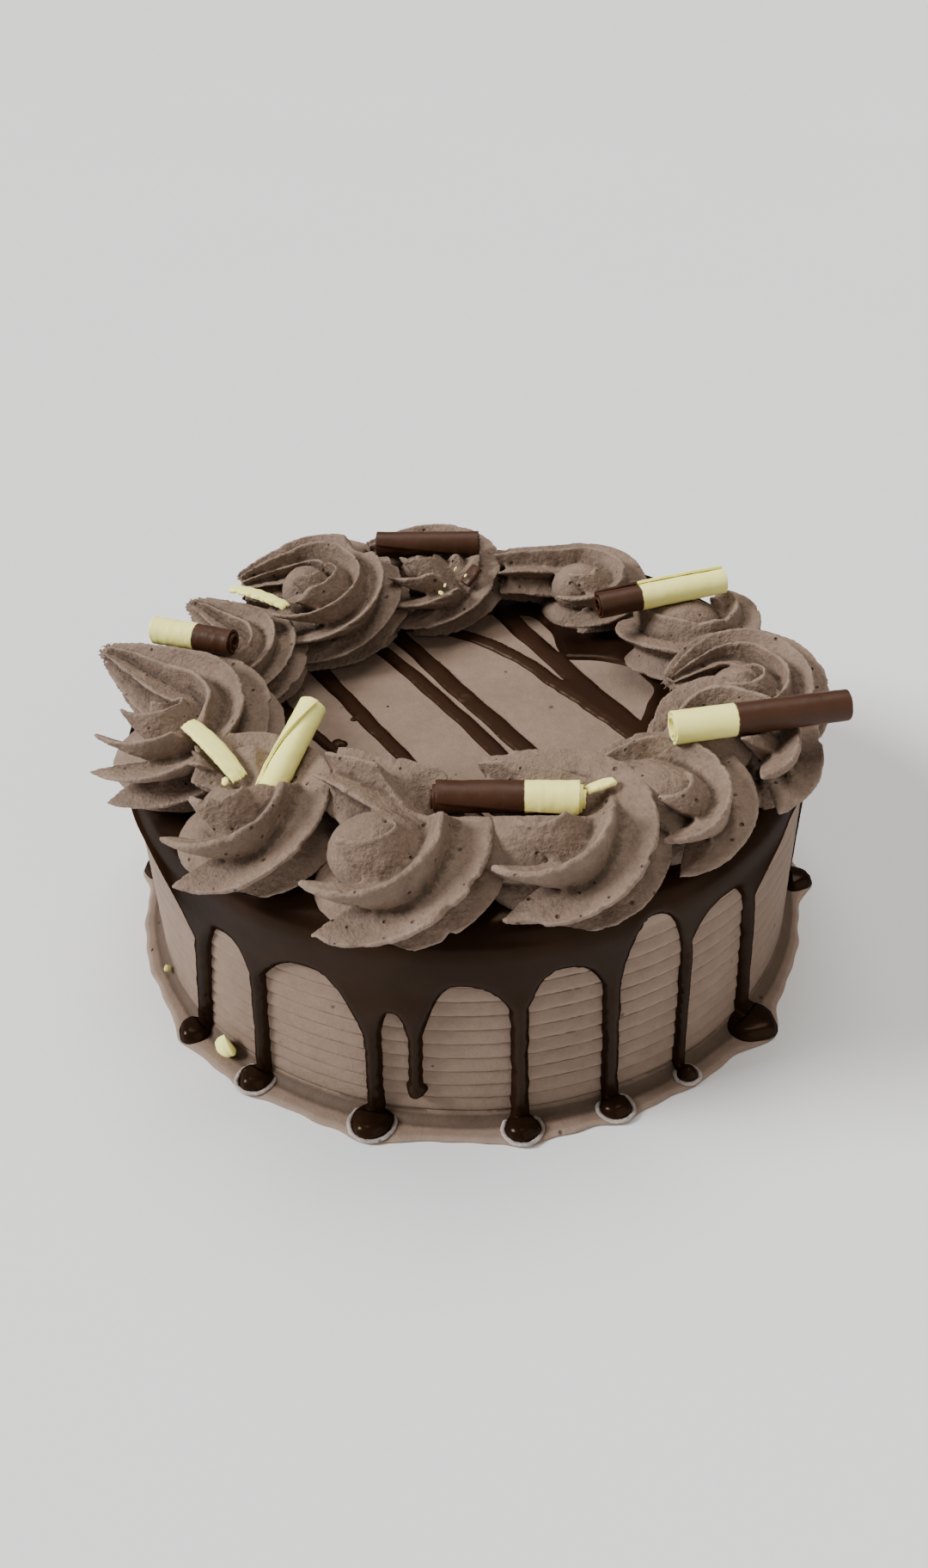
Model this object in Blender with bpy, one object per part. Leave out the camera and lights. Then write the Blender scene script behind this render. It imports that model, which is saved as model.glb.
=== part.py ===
# Chocolate buttercream cake with a poured ganache drip, twelve piped star rosettes,
# rolled chocolate curls and shards. Metres, +Z up, origin at the middle of the flat base.
import bmesh
import bpy
import numpy as np
from mathutils import Matrix, Vector
from mathutils.geometry import delaunay_2d_cdt

MM = 0.001
DEG = np.pi / 180

# Cake body
CAKE_RADIUS = 100 * MM
CAKE_TOP = 70 * MM
RIM_ROUND = 9 * MM
CAKE_SIDES = 44
RIM_STEPS = 4
COMB_PITCH = 5.2 * MM
COMB_DEPTH = 0.8 * MM
COMB_LOWEST = 4 * MM
COMB_BANDS = 11
FOOT_ROUND = 3 * MM
SKIRT_HEIGHT = 1 * MM
SKIRT_EDGE = 0.5 * MM
# Smear of cream round the foot: its widest reach, and the heading where it is widest
SKIRT_WIDE = 5 * MM
SKIRT_NARROW = 1.5 * MM
SKIRT_HEADING = -100

# Ganache
CLEARANCE = 0.3 * MM
WALL_CLEARANCE = 0.8 * MM
SKIN_EDGE = 0.5 * MM
RING_THICK = 1.3 * MM
WALL_THICK = 2.0 * MM
DRIP_THICK = 2.8 * MM
STRIPE_THICK = 1.1 * MM
EDGE_ROUND = 3 * MM
RING_INNER = 54 * MM
RING_LOBE = 12 * MM
RING_LOBE_HEADING = 37
RING_LOBE_WIDTH = 11
NECK_DROP = 9 * MM
POOL_OUT = 4.5 * MM

# One row for each run: heading at the rim, heading at its end, half width, height of its
# round end (0 is a pool on the skirt), radius of that end, height of the arch that follows
DRIPS = (
    (-137, -142, 2.9, 0, 5.0, 51),
    (-125, -127, 2.5, 0, 5.0, 51),
    (-106, -106.5, 2.6, 0, 6.0, 42),
    (-99.5, -99.8, 2.1, 13, 2.9, 52),
    (-84, -84, 2.6, 0, 5.0, 55),
    (-70, -69.5, 2.6, 0, 4.6, 64),
    (-57, -56.5, 1.8, 0, 3.2, 59),
    (-43, -41, 2.3, 0, 7.5, 63),
    (-6, -4, 2.8, 0, 5.5, 58),
    (15, 15.5, 2.2, 24, 3.0, 52),
    (37, 38, 2.7, 0, 5.4, 56),
    (60, 60, 2.1, 31, 2.9, 60),
    (78, 79, 2.6, 0, 5.0, 50),
    (101, 101, 2.3, 15, 3.1, 54),
    (122, 123, 2.7, 0, 5.8, 49),
    (146, 145.5, 2.2, 28, 2.9, 55),
    (176, 175, 2.5, 0, 5.2, 57),
)

# Stripes poured over the top: points of the middle line in mm, then the two end widths
STRIPES = (
    ((-53, 32), (-31, -6), (-4, -53), 5.4, 6.0),
    ((-36, 40), (-6, -4), (25, -52), 5.0, 5.6),
    ((-24, 47), (3, 1), (33, -50), 6.6, 7.2),
    ((-22, 45), (13, 25), (36, -7), 5.2, 5.6),
    ((13, 25), (36, -7), (52, -34), 5.4, 6.0),
    ((7, 60), (31, 13), (57, -33), 7.4, 6.6),
    ((-60, 9), (-44, -16), (-26, -44), 5.0, 5.0),
)

# Rosettes stand on a ring whose middle lies a little to the front of the cake's
RING_SHIFT = -12 * MM
ROSETTE_TARGET = 445
ROPE_RADIUS = 14.4 * MM
PATH_RADIUS = 12.6 * MM
ROPE_HEIGHT = 9.5 * MM
CREST_HEADING = 37
CROWN_LAG = 34
LOWER_LAG = 24
TWIST = 55
TAIL_SHARE = 0.42
CREST_PULL = 0.16
ROPE_WIDE = 1.03
FOOT_SPREAD = 0.12
ROPE_TALL = 0.92
BUMP_RADIUS = 8.8 * MM
BASE_RADIUS = 17 * MM
BASE_STRETCH = (1.0, 1.0, 0.45, 1.0)
REMESH_SIZE = 1.0 * MM

# Heading and radius on the ring, size; heading, reach and height of the tail's tip, how far the rope
# has turned by then, how much of it is pinched away there; crests of the star and their depth; where
# the bump sits aside, ahead and up, its size and how long it is. Degrees, mm and shares
ROSETTES = (
    (-107, 74, 1.08, 120, 25, 17, 264, 0.50, 7, 0.46, -1.5, -2.0, 11.0, 1.05, 1.25),
    (-74, 69, 1.10, 128, 24, 13, 262, 0.60, 7, 0.46, -1.5, -4.0, 9.5, 1.08, 1.65),
    (-47, 71, 0.90, 160, 16, 14, 266, 0.70, 7, 0.42, -1.5, -3.5, 12.5, 1.20, 1.40),
    (-25, 74, 0.97, 188, 27, 8, 272, 0.90, 6, 0.44, -3.5, -2.0, 11.0, 0.95, 1.20),
    (-4, 76, 0.97, 176, 18, 13, 296, 0.80, 11, 0.30, 1.0, -2.0, 12.5, 0.80, 1.30),
    (21, 73, 0.84, -115, 14, 13, 268, 0.75, 9, 0.34, -2.0, -1.5, 12.5, 1.05, 1.35),
    (58, 70, 0.82, 174, 25, 12, 312, 0.75, 9, 0.34, 3.0, -2.0, 12.5, 0.95, 1.10),
    (100, 71, 0.96, 152, 20, 13, 282, 0.70, 10, 0.32, 0.0, -2.0, 11.5, 0.85, 1.10),
    (131, 73, 1.10, 166, 22, 13, 286, 0.70, 12, 0.28, -1.0, -2.5, 13.5, 0.82, 1.00),
    (161, 75, 0.85, 119, 26, 14, 264, 0.85, 11, 0.30, 0.0, 0.0, 11.5, 0.80, 1.00),
    (-170, 83, 1.08, 125, 38, 16, 266, 0.90, 10, 0.34, 2.0, 2.0, 6.0, 0.80, 1.00),
    (-139, 79, 1.00, 132, 17, 16, 272, 0.60, 7, 0.46, 2.5, -3.0, 11.5, 1.02, 1.30),
)

# Rolled curls: name, the two ends in mm, outer diameter in mm
CURLS = (
    ("curl_front", (-9, -71, 89), (27, -73, 89), 9.0),
    ("curl_right", (52, -52.5, 95), (99, -46, 96), 9.0),
    ("curl_right_back", (39.5, 12, 94.5), (78, 21, 96.5), 8.6),
    ("curl_back", (-27.5, 60, 92), (6, 58.5, 92), 8.2),
    ("curl_left", (-90, 6, 95), (-66.5, -2, 94.5), 8.2),
    ("curl_white", (-51.5, -63, 86.5), (-40.5, -39, 96.5), 8.0),
)
CURL_SIDES = 10
CURL_WALL = 0.3
CURL_HOLLOW = 4 * MM
# Room kept free round a curl or shard where it lies in a rosette
CURL_ROOM = 0.4 * MM

# Flat shards: name, one end, other end in mm, width, thickness, how far the middle bows up
SHARDS = (
    ("shard_left", (-74, -42, 94.5), (-58.5, -59.5, 88), 5.6, 1.5, 1.6),
    ("shard_back_left", (-71, 31, 94), (-53, 21, 92.5), 4.6, 1.2, 1.0),
    ("shard_front", (28.5, -72.5, 91), (36, -69.5, 91.5), 3.4, 1.0, 0.3),
    ("shard_brown", (0.5, 43.5, 85.5), (5, 47, 90), 5.0, 1.4, 0.2),
)
SHARD_STEPS = 5

# Chip standing on its narrow end at the foot of the wall
CHIP_HEADING = -134.3
CHIP_REACH = 103.4 * MM
CHIP_HALF_WIDTH = 4.2 * MM
CHIP_HALF_DEPTH = 2.2 * MM
CHIP_HEIGHT = 9 * MM
CHIP_SIDES = 10
CHIP_SHAPE = ((0.55, 0.0), (0.95, 0.1), (1.0, 0.28), (0.72, 0.55), (0.3, 0.85))


def clear_scene():
    for old in list(bpy.data.objects):
        bpy.data.objects.remove(old, do_unlink=True)


def material(name, colour, roughness):
    made = bpy.data.materials.new(name)
    made.use_nodes = True
    shader = made.node_tree.nodes["Principled BSDF"]
    shader.inputs["Base Color"].default_value = (*colour, 1)
    shader.inputs["Roughness"].default_value = roughness
    return made


def add_object(name, mesh, finish=None):
    made = bpy.data.objects.new(name, mesh)
    bpy.context.scene.collection.objects.link(made)
    if finish:
        mesh.materials.clear()
        mesh.materials.append(finish)
    return made


def mesh_from(name, verts, faces, triangles=False):
    mesh = bpy.data.meshes.new(name)
    mesh.from_pydata([tuple(v) for v in verts], [], faces)
    work = bmesh.new()
    work.from_mesh(mesh)
    bmesh.ops.recalc_face_normals(work, faces=work.faces)
    if triangles:
        bmesh.ops.triangulate(work, faces=work.faces)
    work.to_mesh(mesh)
    work.free()
    return mesh


def baked(obj):
    # The object as its modifiers leave it, as a plain mesh
    graph = bpy.context.evaluated_depsgraph_get()
    mesh = bpy.data.meshes.new_from_object(obj.evaluated_get(graph))
    obj.modifiers.clear()
    obj.data = mesh
    return obj


def smooth(obj, angle):
    obj.data.shade_smooth()
    obj.data.set_sharp_from_angle(angle=angle * DEG)


def ease(value):
    held = np.clip(value, 0, 1)
    return held * held * (3 - 2 * held)


# Cake body

def bump_near(heading, centre, width):
    apart = (heading - centre + 180) % 360 - 180
    return np.exp(-(apart / width) ** 2)


def skirt_reach(heading):
    # Radius of the uneven edge of the cream smear at a heading in degrees
    lobe = 0.5 + 0.5 * np.cos((heading - SKIRT_HEADING) * DEG)
    wide = SKIRT_NARROW + (SKIRT_WIDE - SKIRT_NARROW) * lobe ** 1.5
    ripple = 0.7 * np.sin(7 * heading * DEG) + 0.5 * np.sin(13 * heading * DEG + 1)
    reach = CAKE_RADIUS + FOOT_ROUND + wide + ripple * MM
    for _, foot, _, height, radius, _ in DRIPS:
        if height == 0:
            pool = CAKE_RADIUS + POOL_OUT + (radius + 0.4) * MM
            near = bump_near(heading, foot, 0.6 * radius)
            reach = max(reach, reach + (pool - reach) * near)
    return reach


def cake_profile():
    # Radius and height from the edge of the flat top down to the foot of the wall
    points = [(CAKE_RADIUS - RIM_ROUND, CAKE_TOP)]
    for step in range(1, RIM_STEPS + 1):
        turn = step / RIM_STEPS * 90 * DEG
        out = CAKE_RADIUS - RIM_ROUND + RIM_ROUND * np.sin(turn)
        points.append((out, CAKE_TOP - RIM_ROUND + RIM_ROUND * np.cos(turn)))
    for band in reversed(range(COMB_BANDS)):
        low = COMB_LOWEST + band * COMB_PITCH
        points.append((CAKE_RADIUS, low + 0.25 * COMB_PITCH))
        points.append((CAKE_RADIUS - COMB_DEPTH, low))
    points.append((CAKE_RADIUS + 0.3 * FOOT_ROUND, SKIRT_HEIGHT + 0.3 * FOOT_ROUND))
    return points


def make_cake(finish):
    rings = []
    headings = [360 * k / CAKE_SIDES for k in range(CAKE_SIDES)]
    for out, height in cake_profile():
        rings.append([(out, height)] * CAKE_SIDES)
    edge = [skirt_reach(heading) for heading in headings]
    rings.append([(CAKE_RADIUS + FOOT_ROUND, SKIRT_HEIGHT)] * CAKE_SIDES)
    rings.append([(out - 1.2 * MM, SKIRT_HEIGHT * 0.9) for out in edge])
    rings.append([(out, SKIRT_EDGE * 0.5) for out in edge])
    rings.append([(out - 0.6 * MM, 0) for out in edge])
    verts = []
    for ring in rings:
        for heading, (out, height) in zip(headings, ring):
            verts.append((out * np.cos(heading * DEG), out * np.sin(heading * DEG), height))
    faces = []
    for row in range(len(rings) - 1):
        for k in range(CAKE_SIDES):
            near = row * CAKE_SIDES
            step = (k + 1) % CAKE_SIDES
            faces.append((near + k, near + step, near + CAKE_SIDES + step, near + CAKE_SIDES + k))
    last = (len(rings) - 1) * CAKE_SIDES
    verts += [(0, 0, CAKE_TOP), (0, 0, 0)]
    for k in range(CAKE_SIDES):
        step = (k + 1) % CAKE_SIDES
        faces.append((k, step, len(verts) - 2))
        faces.append((last + k, last + step, len(verts) - 1))
    cake = add_object("cake", mesh_from("cake", verts, faces, True), finish)
    smooth(cake, 32)
    return cake


# Ganache: a flat drawing of the skin, wrapped over the rim and down the wall

FLAT_END = CAKE_RADIUS - RIM_ROUND
ROUND_END = FLAT_END + RIM_ROUND * 90 * DEG
WALL_END = ROUND_END + CAKE_TOP - RIM_ROUND - SKIRT_HEIGHT - FOOT_ROUND
FOOT_END = WALL_END + FOOT_ROUND * 90 * DEG


def run_at(height):
    return ROUND_END + CAKE_TOP - RIM_ROUND - height


def wrap(run):
    # Radius, height, outward part and upward part of the normal at a run from the middle
    if run <= FLAT_END:
        return run, CAKE_TOP, 0.0, 1.0
    if run <= ROUND_END:
        turn = (run - FLAT_END) / RIM_ROUND
        out = FLAT_END + RIM_ROUND * np.sin(turn)
        return out, CAKE_TOP - RIM_ROUND * (1 - np.cos(turn)), np.sin(turn), np.cos(turn)
    if run <= WALL_END:
        return CAKE_RADIUS, CAKE_TOP - RIM_ROUND - (run - ROUND_END), 1.0, 0.0
    if run <= FOOT_END:
        turn = (run - WALL_END) / FOOT_ROUND
        out = CAKE_RADIUS + FOOT_ROUND * (1 - np.cos(turn))
        height = SKIRT_HEIGHT + FOOT_ROUND * (1 - np.sin(turn))
        return out, height, np.cos(turn), np.sin(turn)
    return CAKE_RADIUS + FOOT_ROUND + run - FOOT_END, SKIRT_HEIGHT, 0.0, 1.0


def drawn(run, heading):
    return (run * np.cos(heading * DEG), run * np.sin(heading * DEG))


def beside(run, heading, aside):
    # A point of the drawing that lies aside of a heading by a real distance
    out = max(wrap(run)[0], 10 * MM)
    return drawn(run, heading + aside / out / DEG)


def drip_outline(drip):
    top, foot, half, height, radius, _ = drip
    half = half * MM
    radius = radius * MM
    centre = run_at(height * MM)
    if height == 0:
        centre = FOOT_END + POOL_OUT - FOOT_ROUND
    return top, foot, half, radius, centre


def neck_height(index):
    lower = min(DRIPS[index - 1][5], DRIPS[index][5])
    return lower * MM - NECK_DROP


def skin_outline():
    # The outer edge of the ganache: arches between the runs, each run down and up again
    points = []
    count = len(DRIPS)
    for index, drip in enumerate(DRIPS):
        top, foot, half, radius, centre = drip_outline(drip)
        neck = run_at(neck_height(index))
        sweep = np.arcsin(min(half / radius, 0.98))
        join = centre - radius * np.cos(sweep)
        for share in (0.0, 0.35, 0.7):
            run = neck + (join - neck) * share
            points.append(beside(run, top + (foot - top) * share, -half))
        for share in np.linspace(0, 1, 7):
            turn = -(np.pi - sweep) + 2 * (np.pi - sweep) * share
            run = centre + radius * np.cos(turn)
            points.append(beside(run, foot, radius * np.sin(turn)))
        for share in (0.7, 0.35, 0.0):
            run = neck + (join - neck) * share
            points.append(beside(run, top + (foot - top) * share, half))
        follow = DRIPS[(index + 1) % count]
        start = top + half / CAKE_RADIUS / DEG
        gap = (follow[0] - follow[2] * MM / CAKE_RADIUS / DEG - start) % 360
        after = run_at(neck_height((index + 1) % count))
        peak = run_at(drip[5] * MM)
        steps = 4 if gap < 8 else 8
        for share in np.linspace(0, 1, steps)[1:-1]:
            lift = abs(2 * share - 1) ** 2.6
            side = neck if share < 0.5 else after
            points.append(drawn(peak + (side - peak) * lift, start + gap * share))
    return points


def inner_outline():
    points = []
    for k in range(CAKE_SIDES):
        heading = 360 * k / CAKE_SIDES
        wave = 2.2 * np.sin(3 * heading * DEG + 0.6) + 1.4 * np.sin(7 * heading * DEG)
        lobe = RING_LOBE * bump_near(heading, RING_LOBE_HEADING, RING_LOBE_WIDTH)
        points.append(drawn(RING_INNER + wave * MM - lobe, heading))
    return points


def stripe_outline(stripe):
    first, middle, last, wide, end_wide = stripe
    ends = [np.array(point) * MM for point in (first, middle, last)]
    left, right = [], []
    for share in np.linspace(0, 1, 7):
        bend = 2 * ends[1] - (ends[0] + ends[2]) / 2
        place = (1 - share) ** 2 * ends[0] + 2 * share * (1 - share) * bend + share ** 2 * ends[2]
        along = 2 * (1 - share) * (bend - ends[0]) + 2 * share * (ends[2] - bend)
        across = np.array((-along[1], along[0])) / np.linalg.norm(along)
        half = (wide + (end_wide - wide) * share) * MM / 2
        left.append(tuple(place + across * half))
        right.append(tuple(place - across * half))
    return left + right[::-1]


def inside(points, outline):
    # Which points lie in a closed outline, by counting the edges to their right
    points = np.asarray(points)
    edge = np.asarray(outline)
    after = np.roll(edge, -1, 0)
    x, y = points[:, :1], points[:, 1:2]
    crosses = (edge[:, 1] > y) != (after[:, 1] > y)
    rise = np.where(after[:, 1] == edge[:, 1], 1, after[:, 1] - edge[:, 1])
    reach = edge[:, 0] + (y - edge[:, 1]) * (after[:, 0] - edge[:, 0]) / rise
    return (crosses & (x < reach)).sum(1) % 2 == 1


def edge_distance(points, edges):
    best = np.full(len(points), 1.0)
    for a, b in edges:
        along = b - a
        share = np.clip((points - a) @ along / max(along @ along, 1e-12), 0, 1)
        best = np.minimum(best, np.linalg.norm(points - a - share[:, None] * along, axis=1))
    return best


def skin_fill_points():
    # Points inside the drawing, and the links that keep its edges along the rounded rim
    points, links = [], []
    levels = [66 * MM, 80 * MM]
    levels += [FLAT_END + RIM_ROUND * 90 * DEG * k / RIM_STEPS for k in range(RIM_STEPS + 1)]
    levels += [run_at(height * MM) for height in (54.5, 48)]
    for run in levels:
        start = len(points)
        points += [drawn(run, 360 * k / CAKE_SIDES) for k in range(CAKE_SIDES)]
        if FLAT_END <= run <= ROUND_END:
            links += [(start + k, start + (k + 1) % CAKE_SIDES) for k in range(CAKE_SIDES)]
    for index, drip in enumerate(DRIPS):
        top, foot, half, radius, centre = drip_outline(drip)
        neck = run_at(neck_height(index))
        for share in (0.0, 0.33, 0.66, 1.0):
            run = neck + (centre - neck) * share
            points.append(drawn(run, top + (foot - top) * share))
    for first, middle, last, _, _ in STRIPES:
        for a, b in ((first, middle), (middle, last)):
            for share in (0.25, 0.75):
                point = np.array(a) * (1 - share) + np.array(b) * share
                points.append(tuple(point * MM))
    return points, links


def make_ganache(finish):
    outer = skin_outline()
    inner = inner_outline()
    stripes = [stripe_outline(stripe) for stripe in STRIPES]
    loops = [outer, inner] + stripes
    points, edges = [], []
    for loop in loops:
        start = len(points)
        points += loop
        edges += [(start + k, start + (k + 1) % len(loop)) for k in range(len(loop))]
    fill, links = skin_fill_points()
    fill = np.array(fill)
    held = inside(fill, outer) & ~inside(fill, inner)
    for stripe in stripes:
        held |= inside(fill, stripe)
    borders = [(np.array(points[a]), np.array(points[b])) for a, b in edges]
    held &= edge_distance(fill, borders) > 1.2 * MM
    place = {old: len(points) + new for new, old in enumerate(np.flatnonzero(held))}
    edges += [(place[a], place[b]) for a, b in links if a in place and b in place]
    points += [tuple(point) for point in fill[held]]
    scaled = [Vector((x / MM, y / MM)) for x, y in points]
    flat, _, tris, _, _, _ = delaunay_2d_cdt(scaled, edges, [], 0, 1e-4)
    flat = np.array([tuple(v) for v in flat]) * MM
    tris = np.array(tris)
    middle = flat[tris].mean(1)
    keep = inside(middle, outer) & ~inside(middle, inner)
    for stripe in stripes:
        keep |= inside(middle, stripe)
    tris = tris[keep]
    used = np.unique(tris)
    renumber = {old: new for new, old in enumerate(used)}
    flat = flat[used]
    tris = [[renumber[k] for k in tri] for tri in tris]
    counts = {}
    for tri in tris:
        for k in range(3):
            side = (tri[k], tri[(k + 1) % 3])
            counts[side] = counts.get(side, 0) + 1
    rim = [side for side in counts if (side[1], side[0]) not in counts]
    lower, normals, thick = [], [], []
    for x, y in flat:
        run = np.hypot(x, y)
        heading = np.arctan2(y, x)
        out, height, outward, upward = wrap(run)
        over = ease((run - FLAT_END + RIM_ROUND / 2) / RIM_ROUND)
        foot = ease((run - WALL_END) / FOOT_ROUND)
        gap = CLEARANCE + (WALL_CLEARANCE - CLEARANCE) * over * (1 - 0.3 * foot)
        normal = np.array((outward * np.cos(heading), outward * np.sin(heading), upward))
        lower.append(np.array((out * np.cos(heading), out * np.sin(heading), height)) + normal * gap)
        normals.append(normal)
        ring = ease((run - RING_INNER + 4 * MM) / (6 * MM))
        wall = ease((run - FLAT_END) / RIM_ROUND)
        drip = ease((run - run_at(52 * MM)) / (12 * MM))
        depth = STRIPE_THICK + (RING_THICK - STRIPE_THICK) * ring
        depth += (WALL_THICK - RING_THICK) * wall + (DRIP_THICK - WALL_THICK) * drip
        thick.append(depth)
    lower = np.array(lower)
    borders = [(lower[a], lower[b]) for a, b in rim]
    away = edge_distance(lower, borders)
    share = np.clip(away / EDGE_ROUND, 0, 1)
    rise = SKIN_EDGE + (np.array(thick) - SKIN_EDGE) * np.sqrt(1 - (1 - share) ** 2)
    upper = lower + np.array(normals) * rise[:, None]
    count = len(lower)
    faces = [(c, b, a) for a, b, c in tris]
    faces += [(a + count, b + count, c + count) for a, b, c in tris]
    faces += [(a, b, b + count, a + count) for a, b in rim]
    verts = np.concatenate((lower, upper))
    ganache = add_object("ganache", mesh_from("ganache", verts, faces, True), finish)
    smooth(ganache, 50)
    return ganache


# Rosettes: a star-shaped rope of cream laid round a rounded bump

ROSETTE_FLOOR = CAKE_TOP + CLEARANCE + RING_THICK + CLEARANCE


def rosette_places():
    places = []
    for heading, out, *_ in ROSETTES:
        x = out * MM * np.cos(heading * DEG)
        y = out * MM * np.sin(heading * DEG) + RING_SHIFT
        places.append(np.array((x, y)))
    return places


def rope_shape(size, tail, reach, tip, turn, pinch, crests, depth):
    # Rows of points of the rope, from its crown of pointed flanges to its straight, pinched tail
    rows, around = 44, 56
    share = np.linspace(0, 1, rows)[:, None]
    spin = np.linspace(0, 2 * np.pi, around, endpoint=False)[None, :]
    far = reach * MM / size
    bent = (turn * DEG - np.arccos(PATH_RADIUS / far)) * PATH_RADIUS
    along = share * (bent + np.sqrt(far * far - PATH_RADIUS * PATH_RADIUS))
    crest = CREST_HEADING - TWIST * (1 - ease((share - 0.02) / 0.48))
    valley = np.abs(np.sin(crests * (spin - crest * DEG) / 2)) ** 0.9
    lag = CROWN_LAG * valley + LOWER_LAG * (1 - np.sin(spin)) / 2
    lag = lag * (1 - ease(share / 0.4)) * DEG
    heading = (tail - turn) * DEG + np.minimum(along, bent) / PATH_RADIUS + lag
    past = np.maximum(along - bent, 0) * (1 + CREST_PULL * (1 - valley) ** 2)
    pinched = np.clip((share - 1 + TAIL_SHARE) / TAIL_SHARE, 0, 1)
    radius = ROPE_RADIUS * (1 - pinch * pinched ** 1.4) * (1 - depth * valley)
    height = ROPE_HEIGHT + (tip * MM / size - ROPE_HEIGHT) * ease(pinched)
    wide = ROPE_WIDE + FOOT_SPREAD * (1 - np.sin(spin)) / 2
    out = PATH_RADIUS + wide * radius * np.cos(spin)
    z = height + ROPE_TALL * radius * np.sin(spin)
    x = out * np.cos(heading) - past * np.sin(heading)
    y = out * np.sin(heading) + past * np.cos(heading)
    verts = np.stack((x, y, z), -1) * size
    verts = verts.reshape(-1, 3)
    faces = []
    for row in range(rows - 1):
        for k in range(around):
            step = (k + 1) % around
            near = row * around
            faces.append((near + k, near + step, near + around + step, near + around + k))
    deep = (tail - turn + CROWN_LAG * 1.2 + LOWER_LAG * 0.5) * DEG
    start = np.array((PATH_RADIUS * np.cos(deep), PATH_RADIUS * np.sin(deep), ROPE_HEIGHT)) * size
    last = verts[-around:].mean(0)
    first = len(verts)
    verts = np.concatenate((verts, [start, last]))
    for k in range(around):
        step = (k + 1) % around
        faces.append((step, k, first))
        faces.append(((rows - 1) * around + k, (rows - 1) * around + step, first + 1))
    return verts, faces


def rosette_mesh(name, row):
    size, shape = row[2], row[2:10]
    aside, ahead, high, big, long = row[10:]
    verts, faces = rope_shape(*shape)
    work = bmesh.new()
    rope = mesh_from(name, verts, faces)
    work.from_mesh(rope)
    bump = Matrix.Translation((aside * MM, ahead * MM, high * MM * size))
    bump = bump @ Matrix.Diagonal((long, 1, 1, 1))
    bmesh.ops.create_icosphere(work, subdivisions=3, radius=big * BUMP_RADIUS * size, matrix=bump)
    disc = Matrix.Diagonal(BASE_STRETCH)
    bmesh.ops.create_icosphere(work, subdivisions=3, radius=BASE_RADIUS * size, matrix=disc)
    work.to_mesh(rope)
    work.free()
    return rope


def cut_box(name, place, neighbours):
    # The room that a rosette has: above the ganache and between its two neighbours
    work = bmesh.new()
    reach = 100 * MM
    lift = Matrix.Translation((place[0], place[1], ROSETTE_FLOOR + reach / 2))
    bmesh.ops.create_cube(work, size=reach, matrix=lift)
    for other in neighbours:
        apart = other - place
        apart = apart / np.linalg.norm(apart)
        middle = (place + other) / 2 - apart * CLEARANCE * 0.6
        geom = work.verts[:] + work.edges[:] + work.faces[:]
        cut = bmesh.ops.bisect_plane(
            work, geom=geom, plane_co=(*middle, 0), plane_no=(*apart, 0), clear_outer=True)
        edges = [e for e in cut["geom_cut"] if isinstance(e, bmesh.types.BMEdge)]
        bmesh.ops.edgenet_fill(work, edges=edges)
    bmesh.ops.recalc_face_normals(work, faces=work.faces)
    mesh = bpy.data.meshes.new(name)
    work.to_mesh(mesh)
    work.free()
    return guide(add_object(name, mesh))


def guide(obj):
    obj.hide_render = True
    obj.display_type = "WIRE"
    return obj


def largest_piece(mesh):
    # Loose scraps that a cut leaves are dropped
    work = bmesh.new()
    work.from_mesh(mesh)
    left = set(work.verts)
    pieces = []
    while left:
        piece, edge = set(), [left.pop()]
        while edge:
            vert = edge.pop()
            piece.add(vert)
            for link in vert.link_edges:
                other = link.other_vert(vert)
                if other in left:
                    left.discard(other)
                    edge.append(other)
        pieces.append(piece)
    pieces.sort(key=len)
    drop = [vert for piece in pieces[:-1] for vert in piece]
    bmesh.ops.delete(work, geom=drop, context="VERTS")
    bmesh.ops.triangulate(work, faces=work.faces)
    work.to_mesh(mesh)
    work.free()


def boolean(obj, other, operation):
    step = obj.modifiers.new("cut", "BOOLEAN")
    step.operation = operation
    step.solver = "EXACT"
    step.object = other


def make_rosettes(finish, cutters):
    places = rosette_places()
    count = len(places)
    for index, row in enumerate(ROSETTES):
        name = f"rosette_{index + 1:02d}"
        place = places[index]
        rosette = add_object(name, rosette_mesh(name, row), finish)
        rosette.location = (place[0], place[1], ROSETTE_FLOOR - CLEARANCE)
        remesh = rosette.modifiers.new("skin", "REMESH")
        remesh.mode = "VOXEL"
        remesh.voxel_size = REMESH_SIZE
        baked(rosette)
        thin = rosette.modifiers.new("thin", "DECIMATE")
        thin.ratio = ROSETTE_TARGET / (2 * len(rosette.data.polygons))
        baked(rosette)
        neighbours = (places[index - 1], places[(index + 1) % count])
        room = cut_box(name + "_room", place, neighbours)
        boolean(rosette, room, "INTERSECT")
        baked(rosette)
        for cutter, low, high in cutters:
            centre = np.array((low + high) / 2)[:2]
            if np.linalg.norm(centre - place) < np.linalg.norm(high - low) / 2 + 24 * MM:
                boolean(rosette, cutter, "DIFFERENCE")
                baked(rosette)
        largest_piece(rosette.data)
        rosette.data.materials.clear()
        rosette.data.materials.append(finish)
        smooth(rosette, 40)
        bpy.data.objects.remove(room, do_unlink=True)


# Rolled curls and flat shards

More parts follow.
